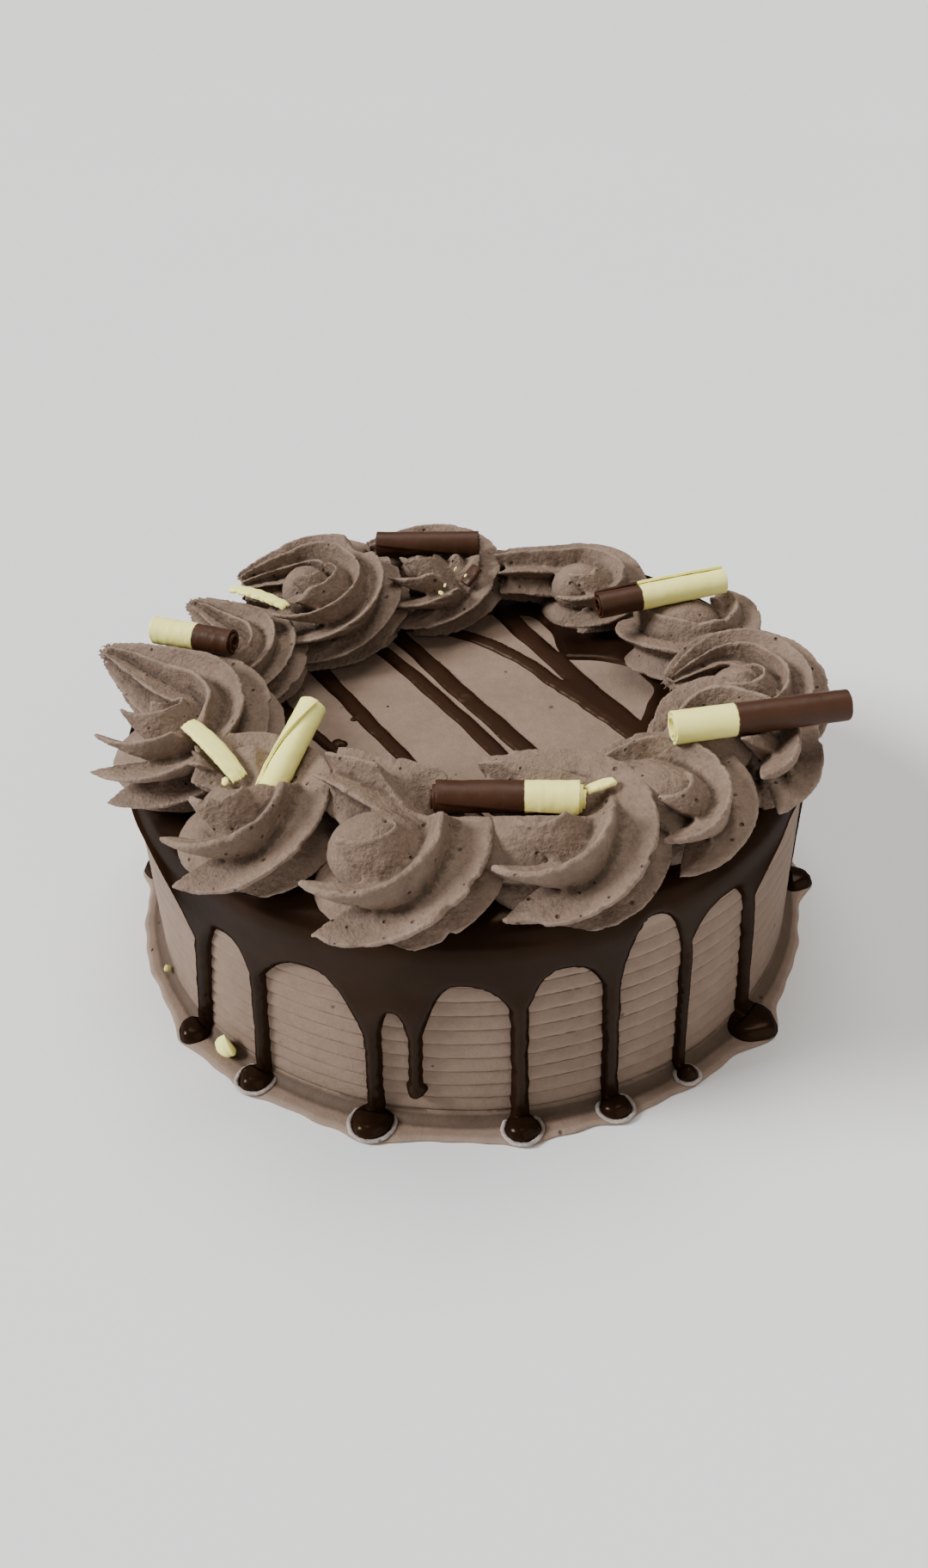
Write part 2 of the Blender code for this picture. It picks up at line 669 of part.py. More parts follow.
def tube_mesh(name, first, last, radius, hollow, grow=0.0):
    # A tube between two points, each end with a short round hollow when one is asked for
    first, last = Vector(first) * MM, Vector(last) * MM
    along = (last - first).normalized()
    turn = along.to_track_quat("Z", "Y")
    length = (last - first).length
    radius = radius + grow
    stations = [(radius, -grow), (radius, length + grow)]
    if hollow:
        bore = radius * CURL_WALL
        stations = [(bore, CURL_HOLLOW), (bore, 0), (radius, 0), (radius, length)]
        stations += [(bore, length), (bore, length - CURL_HOLLOW)]
    verts, faces = [], []
    for out, place in stations:
        for k in range(CURL_SIDES):
            spin = 2 * np.pi * k / CURL_SIDES
            local = Vector((out * np.cos(spin), out * np.sin(spin), place))
            verts.append(first + turn @ local)
    for row in range(len(stations) - 1):
        for k in range(CURL_SIDES):
            step = (k + 1) % CURL_SIDES
            near = row * CURL_SIDES
            faces.append((near + k, near + step, near + CURL_SIDES + step, near + CURL_SIDES + k))
    faces.append(tuple(range(CURL_SIDES)))
    top = (len(stations) - 1) * CURL_SIDES
    faces.append(tuple(range(top, top + CURL_SIDES)))
    return mesh_from(name, verts, faces, True)


def shard_mesh(name, first, last, wide, thick, bow, grow=0.0):
    # A thin plate between two points, bowed a little along its length
    first, last = Vector(first) * MM, Vector(last) * MM
    along = (last - first).normalized()
    across = along.cross(Vector((0, 0, 1))).normalized()
    up = across.cross(along).normalized()
    verts, faces = [], []
    for step in range(SHARD_STEPS):
        share = step / (SHARD_STEPS - 1)
        taper = 1 - 0.22 * (2 * share - 1) ** 2
        half = wide * MM / 2 * taper + grow
        centre = first.lerp(last, share) + up * bow * MM * (1 - (2 * share - 1) ** 2)
        centre += along * grow * (2 * share - 1)
        for side, level in ((-1, -1), (1, -1), (1, 1), (-1, 1)):
            verts.append(centre + across * side * half + up * level * (thick * MM / 2 + grow))
    for step in range(SHARD_STEPS - 1):
        near = step * 4
        for k in range(4):
            after = (k + 1) % 4
            faces.append((near + k, near + after, near + 4 + after, near + 4 + k))
    faces.append((0, 1, 2, 3))
    faces.append(tuple(range(4 * SHARD_STEPS - 4, 4 * SHARD_STEPS)))
    return mesh_from(name, verts, faces, True)


def make_curls(dark, white):
    cutters = []
    for name, first, last, across in CURLS:
        finish = white if name == "curl_white" else dark
        curl = add_object(name, tube_mesh(name, first, last, across / 2 * MM, True), finish)
        smooth(curl, 40)
        wider = tube_mesh(name + "_room", first, last, across / 2 * MM, False, CURL_ROOM)
        room = guide(add_object(name + "_room", wider))
        cutters.append((room, np.array(first) * MM, np.array(last) * MM))
    for name, first, last, wide, thick, bow in SHARDS:
        finish = dark if name == "shard_brown" else white
        add_object(name, shard_mesh(name, first, last, wide, thick, bow), finish)
        wider = shard_mesh(name + "_room", first, last, wide, thick, bow, CURL_ROOM)
        room = guide(add_object(name + "_room", wider))
        cutters.append((room, np.array(first) * MM, np.array(last) * MM))
    return cutters


def make_chip(finish):
    # A small drop-shaped chip that fell on the skirt of cream
    place = Matrix.Rotation(CHIP_HEADING * DEG, 4, "Z")
    foot = SKIRT_HEIGHT + CLEARANCE
    verts, faces = [], []
    for out, rise in CHIP_SHAPE:
        for k in range(CHIP_SIDES):
            spin = 2 * np.pi * k / CHIP_SIDES
            x = CHIP_REACH + CHIP_HALF_DEPTH * out * np.cos(spin)
            y = CHIP_HALF_WIDTH * out * np.sin(spin)
            verts.append(place @ Vector((x, y, foot + rise * CHIP_HEIGHT)))
    for row in range(len(CHIP_SHAPE) - 1):
        for k in range(CHIP_SIDES):
            step = (k + 1) % CHIP_SIDES
            near = row * CHIP_SIDES
            faces.append((near + k, near + step, near + CHIP_SIDES + step, near + CHIP_SIDES + k))
    verts.append(place @ Vector((CHIP_REACH, 0, foot + CHIP_HEIGHT)))
    top = (len(CHIP_SHAPE) - 1) * CHIP_SIDES
    for k in range(CHIP_SIDES):
        faces.append((top + k, top + (k + 1) % CHIP_SIDES, len(verts) - 1))
    faces.append(tuple(range(CHIP_SIDES)))
    chip = add_object("chip_white", mesh_from("chip_white", verts, faces, True), finish)
    smooth(chip, 45)
    return chip


def build():
    clear_scene()
    cream = material("cream", (0.27, 0.19, 0.16), 0.75)
    glaze = material("ganache", (0.035, 0.02, 0.016), 0.2)
    dark = material("dark_chocolate", (0.11, 0.04, 0.02), 0.4)
    white = material("white_chocolate", (0.85, 0.8, 0.55), 0.4)
    make_cake(cream)
    make_ganache(glaze)
    cutters = make_curls(dark, white)
    make_rosettes(cream, cutters)
    for cutter, _, _ in cutters:
        bpy.data.objects.remove(cutter, do_unlink=True)
    make_chip(white)


build()
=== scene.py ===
import math
import bmesh
import bpy
import numpy as np
from mathutils import Matrix, Vector
from mathutils.geometry import delaunay_2d_cdt


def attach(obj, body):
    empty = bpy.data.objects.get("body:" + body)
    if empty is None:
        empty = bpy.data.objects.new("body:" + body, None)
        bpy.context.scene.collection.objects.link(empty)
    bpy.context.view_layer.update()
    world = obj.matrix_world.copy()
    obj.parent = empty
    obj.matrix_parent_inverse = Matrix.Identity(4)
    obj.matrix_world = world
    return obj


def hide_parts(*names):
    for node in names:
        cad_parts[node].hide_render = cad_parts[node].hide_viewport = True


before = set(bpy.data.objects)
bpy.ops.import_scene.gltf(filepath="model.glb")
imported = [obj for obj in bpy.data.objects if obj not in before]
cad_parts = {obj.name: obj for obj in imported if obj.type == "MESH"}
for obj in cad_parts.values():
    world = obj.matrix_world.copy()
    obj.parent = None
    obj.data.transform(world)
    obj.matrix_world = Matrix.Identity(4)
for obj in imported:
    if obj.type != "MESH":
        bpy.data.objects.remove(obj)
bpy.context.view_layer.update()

# Chocolate drip cake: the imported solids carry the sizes, the pieces below carry the looks
mm = 0.001
deg = math.pi / 180


# Small helpers for node trees

class Wire:
    # One value on its way through a node tree, so that a rule can be written as plain arithmetic
    def __init__(self, tree, socket):
        self.tree = tree
        self.socket = socket

    def through(self, operation, *others):
        node = self.tree.nodes.new("ShaderNodeMath")
        node.operation = operation
        for number, value in enumerate((self, *others)):
            feed(self.tree, node.inputs[number], value)
        return Wire(self.tree, node.outputs[0])

    def __add__(self, other):
        return self.through("ADD", other)

    def __sub__(self, other):
        return self.through("SUBTRACT", other)

    def __mul__(self, other):
        return self.through("MULTIPLY", other)

    def __truediv__(self, other):
        return self.through("DIVIDE", other)

    def __pow__(self, other):
        return self.through("POWER", other)

    def less(self, other=1.0):  # the other value minus this one
        return self.through("MULTIPLY_ADD", -1.0, other)


def feed(tree, socket, value):
    if isinstance(value, Wire):
        tree.links.new(value.socket, socket)
    elif hasattr(value, "is_output"):
        tree.links.new(value, socket)
    else:
        socket.default_value = value


def place(tree, kind, inputs=None, **settings):
    node = tree.nodes.new(kind)
    for name, value in settings.items():
        setattr(node, name, value)
    for name, value in (inputs or {}).items():
        feed(tree, node.inputs[name], value)
    return node


def ramp(value, low, high, soft=True):  # 0 below low, 1 above high
    node = place(value.tree, "ShaderNodeMapRange", interpolation_type="SMOOTHSTEP" if soft else "LINEAR")
    for name, wanted in (("Value", value), ("From Min", low), ("From Max", high)):
        feed(value.tree, node.inputs[name], wanted)
    return Wire(value.tree, node.outputs["Result"])


def parts(tree, vector):
    node = place(tree, "ShaderNodeSeparateXYZ", {"Vector": vector})
    return [Wire(tree, node.outputs[k]) for k in range(3)]


def joined(tree, x, y, z):
    return place(tree, "ShaderNodeCombineXYZ", {"X": x, "Y": y, "Z": z}).outputs[0]


def position(tree):  # where each point is: as one vector, then its three parts
    here = place(tree, "GeometryNodeInputPosition").outputs[0]
    return here, *parts(tree, here)


def moved(tree, geometry, x, y, z, way="Offset"):
    shift = {"Geometry": geometry, way: joined(tree, x, y, z)}
    return place(tree, "GeometryNodeSetPosition", shift).outputs[0]


def noise(tree, vector, scale, detail=2.0, rough=0.5):
    pattern = {"Vector": vector, "Scale": scale, "Detail": detail, "Roughness": rough}
    return Wire(tree, place(tree, "ShaderNodeTexNoise", pattern).outputs[0])


def shifted(tree, vector, seed):  # the same pattern taken from another place for each seed
    far = place(tree, "ShaderNodeVectorMath", {0: vector, 1: joined(tree, seed, seed * 1.7, seed * 0.6)})
    return far.outputs[0]


def airHoles(tree, vector, scale, share, uneven, inner):
    # Round holes in a share of a pattern's cells, each as wide as its own chance says
    cells = place(tree, "ShaderNodeTexVoronoi", {"Vector": vector, "Scale": scale})
    chance, width, _ = parts(tree, cells.outputs["Color"])
    hole = ramp(Wire(tree, cells.outputs["Distance"]), width * uneven + 0.06, inner)
    return hole * chance.through("LESS_THAN", share)


def addInputs(tree, inputs):
    for label, kind, value in inputs:
        socket = tree.interface.new_socket(label, in_out="INPUT", socket_type="NodeSocket" + kind)
        if value is not None:
            socket.default_value = value


def givenWires(tree):
    given = tree.nodes.new("NodeGroupInput")
    return {socket.name: Wire(tree, socket) for socket in given.outputs if socket.name}


def newTree(name, inputs, needsMesh=True):
    tree = bpy.data.node_groups.new(name, "GeometryNodeTree")
    tree.is_modifier = True
    if needsMesh:
        tree.interface.new_socket("Geometry", in_out="INPUT", socket_type="NodeSocketGeometry")
    addInputs(tree, inputs)
    tree.interface.new_socket("Geometry", in_out="OUTPUT", socket_type="NodeSocketGeometry")
    return tree, givenWires(tree)


def endTree(tree, geometry, material):
    real = place(tree, "GeometryNodeRealizeInstances", {"Geometry": geometry})
    coat = place(tree, "GeometryNodeSetMaterial", {"Geometry": real.outputs[0], "Material": material})
    place(tree, "NodeGroupOutput", {"Geometry": coat.outputs[0]})


def addNodes(piece, tree, values):
    step = piece.modifiers.new(tree.name, "NODES")
    step.node_group = tree
    for socket in tree.interface.items_tree:
        if socket.in_out == "INPUT" and socket.name in values:
            step[socket.identifier] = values[socket.name]


def newPiece(name, content=None):
    piece = bpy.data.objects.new(name, content or bpy.data.meshes.new(name))
    bpy.context.scene.collection.objects.link(piece)
    return piece


def plainMesh(piece):  # the piece as its modifiers leave it, its place in its mesh
    graph = bpy.context.evaluated_depsgraph_get()
    mesh = bpy.data.meshes.new_from_object(piece.evaluated_get(graph))
    mesh.transform(piece.matrix_world)
    coats = [coat for coat in mesh.materials if coat]  # a remesh leaves an empty slot in front
    mesh.materials.clear()
    for coat in coats[:1]:
        mesh.materials.append(coat)
    mesh.polygons.foreach_set("material_index", [0] * len(mesh.polygons))
    piece.modifiers.clear()
    piece.data = mesh
    piece.matrix_world = Matrix.Identity(4)
    mesh.name = piece.name
    mesh.shade_smooth()


def meshFrom(name, verts, faces):
    mesh = bpy.data.meshes.new(name)
    mesh.from_pydata([tuple(v) for v in verts], [], [tuple(f) for f in faces])
    work = bmesh.new()
    work.from_mesh(mesh)
    bmesh.ops.recalc_face_normals(work, faces=work.faces)
    work.to_mesh(mesh)
    work.free()
    return mesh


def solidPiece(name, verts, faces, finish):
    piece = newPiece(name, meshFrom(name, verts, faces))
    piece.data.materials.append(finish)
    piece.data.shade_smooth()
    return piece


def standFor(piece, node):
    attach(piece, "root")
    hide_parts(node)


def ease(value):  # from 0 to 1 with a soft start and end
    held = np.clip(value, 0, 1)
    return held * held * (3 - 2 * held)


def turned(out, angle, *height):  # points at a radius and an angle in radians
    return np.stack((out * np.cos(angle), out * np.sin(angle), *height), -1)


# Finishes

def newGroup(name, inputs):
    group = bpy.data.node_groups.new(name, "ShaderNodeTree")
    addInputs(group, inputs)
    for label, kind in (("Color", "Color"), ("Roughness", "Float"), ("Height", "Float")):
        group.interface.new_socket(label, in_out="OUTPUT", socket_type="NodeSocket" + kind)
    return group, givenWires(group), group.nodes.new("NodeGroupOutput")


def blendColours(tree, share, first, second):
    node = place(tree, "ShaderNodeMix", data_type="RGBA")
    feed(tree, node.inputs[0], share)
    feed(tree, node.inputs[6], first)
    feed(tree, node.inputs[7], second)
    return node.outputs[2]


def shaded(tree, share, colour, value, saturation):  # a share of a lighter or darker shade
    shade = place(tree, "ShaderNodeHueSaturation", {"Color": colour, "Value": value, "Saturation": saturation})
    return blendColours(tree, share, colour, shade.outputs[0])


def creamGrainGroup():
    # Whipped cream up close: cloudy tone, fine grain and pin-prick air holes, with painted shade in the holes and
    # creases and painted highlight on raised edges
    group, given, end = newGroup("creamGrain", (
        ("Vector", "Vector", None), ("Pale", "Color", (0.5, 0.4, 0.35, 1)), ("Deep", "Color", (0.3, 0.2, 0.15, 1)),
        ("Grain Scale", "Float", 1000.0), ("Cloud Scale", "Float", 55.0), ("Hole Scale", "Float", 330.0),
        ("Hole Share", "Float", 0.2), ("Relief", "Float", 0.0), ("Seed", "Float", 0.0)))
    at = shifted(group, given["Vector"], given["Seed"])
    cloud = noise(group, at, given["Cloud Scale"], 3.0)
    grain = noise(group, at, given["Grain Scale"], 3.0, 0.65)
    fibre = noise(group, at, given["Grain Scale"] * 0.27, 2.0)
    hole = airHoles(group, at, given["Hole Scale"], given["Hole Share"], 0.22, 0.04)
    tone = ramp(cloud * 0.6 + grain * 0.5 + fibre * 0.45 - 0.275, 0.15, 0.85, False)
    colour = blendColours(group, tone, given["Deep"], given["Pale"])
    # Painted shade: the air holes are painted darker
    colour = shaded(group, hole * 0.9, colour, 0.45, 1.15)
    # Painted highlight and painted shade: raised edges are painted paler, creases are painted darker
    colour = shaded(group, ramp(given["Relief"], 0.1, 0.6) * 0.55, colour, 1.45, 0.85)
    colour = shaded(group, ramp(given["Relief"], -0.02, -0.3) * 0.95, colour, 0.42, 1.15)
    feed(group, end.inputs["Color"], colour)
    feed(group, end.inputs["Roughness"], grain * 0.2 + 0.6)
    feed(group, end.inputs["Height"], grain * 0.35 + fibre * 0.5 - hole * 0.9)
    return group


def chocolateStreakGroup():
    # Set chocolate up close: drawn-out streaks, pale bloom and specks
    group, given, end = newGroup("chocolateStreak", (
        ("Vector", "Vector", None), ("Colour", "Color", (0.1, 0.04, 0.02, 1)),
        ("Bloom", "Color", (0.3, 0.2, 0.15, 1)), ("Streak Scale", "Float", 900.0),
        ("Bloom Share", "Float", 0.3), ("Seed", "Float", 0.0)))
    at = shifted(group, given["Vector"], given["Seed"])
    streak = noise(group, at, given["Streak Scale"], 3.0, 0.6)
    cloud = noise(group, at, given["Streak Scale"] * 0.12, 3.0)
    speck = ramp(noise(group, at, given["Streak Scale"] * 2.2, 1.0), 0.7, 0.76)
    share = (ramp(cloud, 0.4, 0.75) * 0.6 + ramp(streak, 0.5, 0.8) * 0.3) * given["Bloom Share"]
    share = share + speck * given["Bloom Share"] * 0.8
    colour = blendColours(group, share, given["Colour"], given["Bloom"])
    feed(group, end.inputs["Color"], colour)
    feed(group, end.inputs["Roughness"], cloud * 0.22 + streak * 0.14 + 0.28)
    feed(group, end.inputs["Height"], streak * 0.5 + cloud * 0.8)
    return group


creamGrain = creamGrainGroup()
chocolateStreak = chocolateStreakGroup()


def startMaterial(name):
    made = bpy.data.materials.new(name)
    made.use_nodes = True
    return made, made.node_tree, made.node_tree.nodes["Principled BSDF"]


def dress(tree, surface, colour, rough, height, bump):  # bump: its strength and its depth in m
    relief = place(tree, "ShaderNodeBump", {"Height": height, "Strength": bump[0], "Distance": bump[1]})
    for socket, value in (("Base Color", colour), ("Roughness", rough), ("Normal", relief.outputs["Normal"])):
        feed(tree, surface.inputs[socket], value)


def newMaterial(name, groupTree, values, gloss, bump):
    made, tree, surface = startMaterial(name)
    surface.inputs["Specular IOR Level"].default_value = gloss
    where = place(tree, "ShaderNodeTexCoord").outputs["Object"]
    group = place(tree, "ShaderNodeGroup", {"Vector": where, **values}, node_tree=groupTree)
    # The relief drives the cream's painted highlight and painted shade
    if "Relief" in group.inputs:
        relief = place(tree, "ShaderNodeAttribute", attribute_name="relief")
        feed(tree, group.inputs["Relief"], relief.outputs["Fac"])
    dress(tree, surface, group.outputs["Color"], group.outputs["Roughness"], group.outputs["Height"], bump)
    return made


# The pool at the back right stays wet and glossy
wetPool = {"x": 38 * mm, "y": 34 * mm, "inside": 12.5 * mm, "outside": 15.5 * mm}


def ganacheMaterial():
    # Glossy where it was poured thick, duller where the thin stripes dried on top
    made, tree, surface = startMaterial("pouredGanache")
    where = place(tree, "ShaderNodeTexCoord").outputs["Object"]
    x, y, _ = parts(tree, where)
    out = (x * x + y * y).through("SQRT")
    aside, ahead = x - wetPool["x"], y - wetPool["y"]
    pool = ramp((aside * aside + ahead * ahead).through("SQRT"), wetPool["outside"], wetPool["inside"])
    top = ramp(out, 0.058, 0.05) * pool.less()
    smear = noise(tree, where, 45.0, 3.0)
    fine = noise(tree, where, 420.0, 2.0)
    colour = blendColours(tree, ramp(smear, 0.3, 0.75), (0.0105, 0.0046, 0.0024, 1), (0.019, 0.0088, 0.0044, 1))
    colour = blendColours(tree, top, colour, (0.024, 0.0105, 0.0058, 1))
    dress(tree, surface, colour, smear * 0.16 + fine * 0.06 + 0.12 + top * 0.14, smear + fine * 0.06, (0.25, 0.001))
    facing = Wire(tree, place(tree, "ShaderNodeLayerWeight", {"Blend": 0.5}).outputs["Facing"])
    feed(tree, surface.inputs["Specular IOR Level"], ramp(facing, 0.72, 0.25) * 0.12)
    surface.inputs["Specular Tint"].default_value = (1.0, 0.68, 0.44, 1)
    return made


def rolledMaterial(name, split, slant, first, second):
    # Two chocolates in one roll: the change runs round it, by the roll's own UV map
    made, tree, surface = startMaterial(name)
    surface.inputs["Specular IOR Level"].default_value = 0.22
    texture = place(tree, "ShaderNodeTexCoord")
    along, turn, _ = parts(tree, texture.outputs["UV"])
    where = texture.outputs["Object"]
    edge = along + turn * slant + noise(tree, where, 500.0, 3.0, 0.6) * 0.016 - 0.008
    share = ramp(edge, split - 0.006, split + 0.006)
    start, end = (place(tree, "ShaderNodeGroup", {"Vector": where, **side}, node_tree=chocolateStreak).outputs
                  for side in (first, second))
    mixed = blendColours(tree, share, start["Color"], end["Color"])
    dress(tree, surface, mixed, start["Roughness"], start["Height"], (0.3, 0.0003))
    return made


# Name, pattern, its values, gloss, strength and depth of the fine relief
pipedCream = newMaterial("pipedCream", creamGrain, {
    "Pale": (0.267, 0.187, 0.136, 1), "Deep": (0.119, 0.079, 0.055, 1), "Hole Share": 0.32}, 0.25, (1.0, 0.0015))
spreadCream = newMaterial("spreadCream", creamGrain, {
    "Pale": (0.260, 0.183, 0.135, 1), "Deep": (0.170, 0.115, 0.082, 1), "Hole Share": 0.12, "Hole Scale": 240.0,
    "Seed": 3.0}, 0.25, (0.8, 0.0006))
poolCrust = newMaterial("poolCrust", creamGrain, {
    "Pale": (0.60, 0.53, 0.48, 1), "Deep": (0.13, 0.09, 0.08, 1), "Cloud Scale": 420.0, "Seed": 8.0},
    0.5, (0.5, 0.0004))
pouredGanache = ganacheMaterial()
whiteSide = {"Colour": (1.0, 0.95, 0.29, 1), "Bloom": (1.0, 0.97, 0.42, 1), "Bloom Share": 0.7}
brownSide = {"Colour": (0.046, 0.0168, 0.0064, 1), "Bloom": (0.085, 0.035, 0.017, 1), "Bloom Share": 0.45}
whiteChocolate = newMaterial("whiteChocolate", chocolateStreak, {
    **whiteSide, "Streak Scale": 600.0}, 0.3, (0.3, 0.0003))
brownChocolate = newMaterial("brownChocolate", chocolateStreak, {
    **brownSide, "Bloom": (0.078, 0.032, 0.015, 1), "Bloom Share": 0.5, "Seed": 5.0}, 0.22, (0.3, 0.0003))
print("finishes made")


# The cake's own measures, as its solids have them

cake = {
    "radius": 100 * mm, "top": 70 * mm, "rimRound": 9 * mm, "footRound": 3 * mm, "skirtHeight": 1 * mm,
    "bandHeight": 5.2 * mm, "grooveDepth": 0.85 * mm, "lowestGroove": 4 * mm, "bands": 11,
    "skirtWide": 5 * mm, "skirtNarrow": 1.5 * mm, "skirtHeading": -100,
    "columns": 560, "rowsPerBand": 9,
}
flatEnd = cake["radius"] - cake["rimRound"]
roundEnd = flatEnd + cake["rimRound"] * 90 * deg
wallEnd = roundEnd + cake["top"] - cake["rimRound"] - cake["skirtHeight"] - cake["footRound"]
footEnd = wallEnd + cake["footRound"] * 90 * deg

# Heading at the rim, heading at its end, half width, height of its end (0 is a pool), radius of
# that end, height of the arch that follows; degrees and mm
drips = (
    (-137, -142, 2.9, 0, 5.0, 51), (-125, -127, 2.5, 0, 5.0, 51), (-106, -106.5, 2.6, 0, 6.0, 42),
    (-99.5, -99.8, 2.1, 13, 2.9, 52), (-84, -84, 2.6, 0, 5.0, 55), (-70, -69.5, 2.6, 0, 4.6, 64),
    (-57, -56.5, 1.8, 0, 3.2, 59), (-43, -41, 2.3, 0, 7.5, 63), (-6, -4, 2.8, 0, 5.5, 58),
    (15, 15.5, 2.2, 24, 3.0, 52), (37, 38, 2.7, 0, 5.4, 56), (60, 60, 2.1, 31, 2.9, 60),
    (78, 79, 2.6, 0, 5.0, 50), (101, 101, 2.3, 15, 3.1, 54), (122, 123, 2.7, 0, 5.8, 49),
    (146, 145.5, 2.2, 28, 2.9, 55), (176, 175, 2.5, 0, 5.2, 57),
)
poolOut = 4.5 * mm


def runAt(height):
    return roundEnd + cake["top"] - cake["rimRound"] - height


def wrapped(run):
    # Radius, height and the normal's outward and upward parts for runs measured from the middle
    run = np.asarray(run, float)
    rim = (run - flatEnd) / cake["rimRound"]
    foot = (run - wallEnd) / cake["footRound"]
    steps = [run <= flatEnd, run <= roundEnd, run <= wallEnd, run <= footEnd, run > footEnd]
    low = cake["skirtHeight"] + cake["footRound"] * (1 - np.sin(foot))
    out = np.select(steps, [run, flatEnd + cake["rimRound"] * np.sin(rim), cake["radius"] + 0 * run,
                            cake["radius"] + cake["footRound"] * (1 - np.cos(foot)),
                            cake["radius"] + cake["footRound"] + run - footEnd])
    height = np.select(steps, [cake["top"] + 0 * run, cake["top"] - cake["rimRound"] * (1 - np.cos(rim)),
                               cake["top"] - cake["rimRound"] - (run - roundEnd), low,
                               cake["skirtHeight"] + 0 * run])
    outward = np.select(steps, [0 * run, np.sin(rim), 1 + 0 * run, np.cos(foot), 0 * run])
    upward = np.select(steps, [1 + 0 * run, np.cos(rim), 0 * run, np.sin(foot), 1 + 0 * run])
    return out, height, outward, upward


def bumpNear(heading, centre, width):
    apart = (heading - centre + 180) % 360 - 180
    return np.exp(-(apart / width) ** 2)


def skirtReach(heading):
    lobe = 0.5 + 0.5 * np.cos((heading - cake["skirtHeading"]) * deg)
    wide = cake["skirtNarrow"] + (cake["skirtWide"] - cake["skirtNarrow"]) * lobe ** 1.5
    ripple = 0.45 * np.sin(5 * heading * deg) + 0.3 * np.sin(13 * heading * deg + 1)
    ripple += 0.22 * np.sin(31 * heading * deg) + 0.2 * np.sin(57 * heading * deg + 2)
    reach = cake["radius"] + cake["footRound"] + wide + ripple * mm
    for _, foot, _, height, radius, _ in drips:
        if height == 0:
            pool = cake["radius"] + poolOut + (radius + 0.4) * mm
            near = bumpNear(heading, foot, 0.6 * radius)
            reach = max(reach, reach + (pool - reach) * near)
    return reach


# Cake body

def cakeLathe():
    # Rows lie close together at each groove, where the comb leaves its sharp line
    bands, per = cake["bands"], cake["rowsPerBand"]
    step = np.linspace(bands, 0, bands * per + 1)
    heights = cake["lowestGroove"] + cake["bandHeight"] * (step - 0.72 * np.sin(2 * np.pi * step) / (2 * np.pi))
    heights = heights[heights < cake["top"] - cake["rimRound"] - 0.2 * mm]
    rows = [(out, cake["top"]) for out in np.linspace(2 * mm, flatEnd, 30)]
    for turn in np.linspace(0, 90 * deg, 9)[1:]:
        rows.append((flatEnd + cake["rimRound"] * np.sin(turn),
                     cake["top"] - cake["rimRound"] * (1 - np.cos(turn))))
    rows += [(cake["radius"], height) for height in heights]
    for turn in np.linspace(15 * deg, 90 * deg, 6):
        rows.append((cake["radius"] + cake["footRound"] * (1 - np.cos(turn)),
                     cake["skirtHeight"] + cake["footRound"] * (1 - np.sin(turn))))
    columns = cake["columns"]
    headings = np.arange(columns) * 360 / columns
    edge = np.array([skirtReach(heading) for heading in headings])
    rings = [(np.full(columns, out), np.full(columns, height)) for out, height in rows]
    inner = cake["radius"] + cake["footRound"]
    # The smear at the foot: share of its width, height in mm
    for share, height in ((0.35, 1.05), (0.65, 0.95), (0.85, 0.8), (0.96, 0.55), (1.0, 0.25)):
        rings.append((inner + (edge - inner) * share, np.full(columns, height * mm)))
    rings.append((edge - 0.5 * mm, np.zeros(columns)))
    rings.append((np.full(columns, 60 * mm), np.zeros(columns)))
    verts = np.concatenate([turned(out, headings * deg, height) for out, height in rings])
    count = len(rings)
    k = np.arange(columns)
    after = (k + 1) % columns
    faces = []
    for row in range(count - 1):
        near = row * columns
        faces += np.stack((near + k, near + columns + k, near + columns + after, near + after), -1).tolist()
    faces += [k.tolist(), ((count - 1) * columns + k[::-1]).tolist()]
    return meshFrom("cakeBody", verts, faces)


def combTree():
    tree, given = newTree("combedWall", (
        ("Band Height", "Float", cake["bandHeight"]), ("Groove Depth", "Float", cake["grooveDepth"]),
        ("Lowest Groove", "Float", cake["lowestGroove"]), ("Highest Groove", "Float", 0.06),
        ("Waver", "Float", 0.0004), ("Seed", "Float", 2.0), ("Material", "Material", None)))
    here, x, y, z = position(tree)
    out = (x * x + y * y).through("SQRT")
    at = shifted(tree, here, given["Seed"])
    waver = (noise(tree, at, 22.0, 2.0) - 0.5) * given["Waver"] * 3.0
    ragged = (noise(tree, at, 420.0, 3.0, 0.7) - 0.5) * given["Waver"]
    band = (z - given["Lowest Groove"] + waver + ragged) / given["Band Height"]
    share = band.through("FRACT")
    lip = ramp(share, 0.0, 0.16)
    slope = ramp(share, 0.35, 1.02, False) ** 1.7
    depth = lip.less(1.0) + slope * 0.75
    faint = ramp(noise(tree, at, 9.0, 1.0), 0.3, 0.6) * 0.45 + 0.55
    onWall = ramp(z, given["Lowest Groove"] - 0.0006, given["Lowest Groove"] + 0.0004)
    onWall = onWall * ramp(z, given["Highest Groove"], given["Highest Groove"] - 0.002)
    onWall = onWall * ramp(out, cake["radius"] - 2 * mm, cake["radius"] - 1 * mm)
    inward = depth * faint * onWall * given["Groove Depth"] * -1.0
    push = inward / out
    endTree(tree, moved(tree, given["Geometry"], x * push, y * push, 0.0), given["Material"])
    return tree


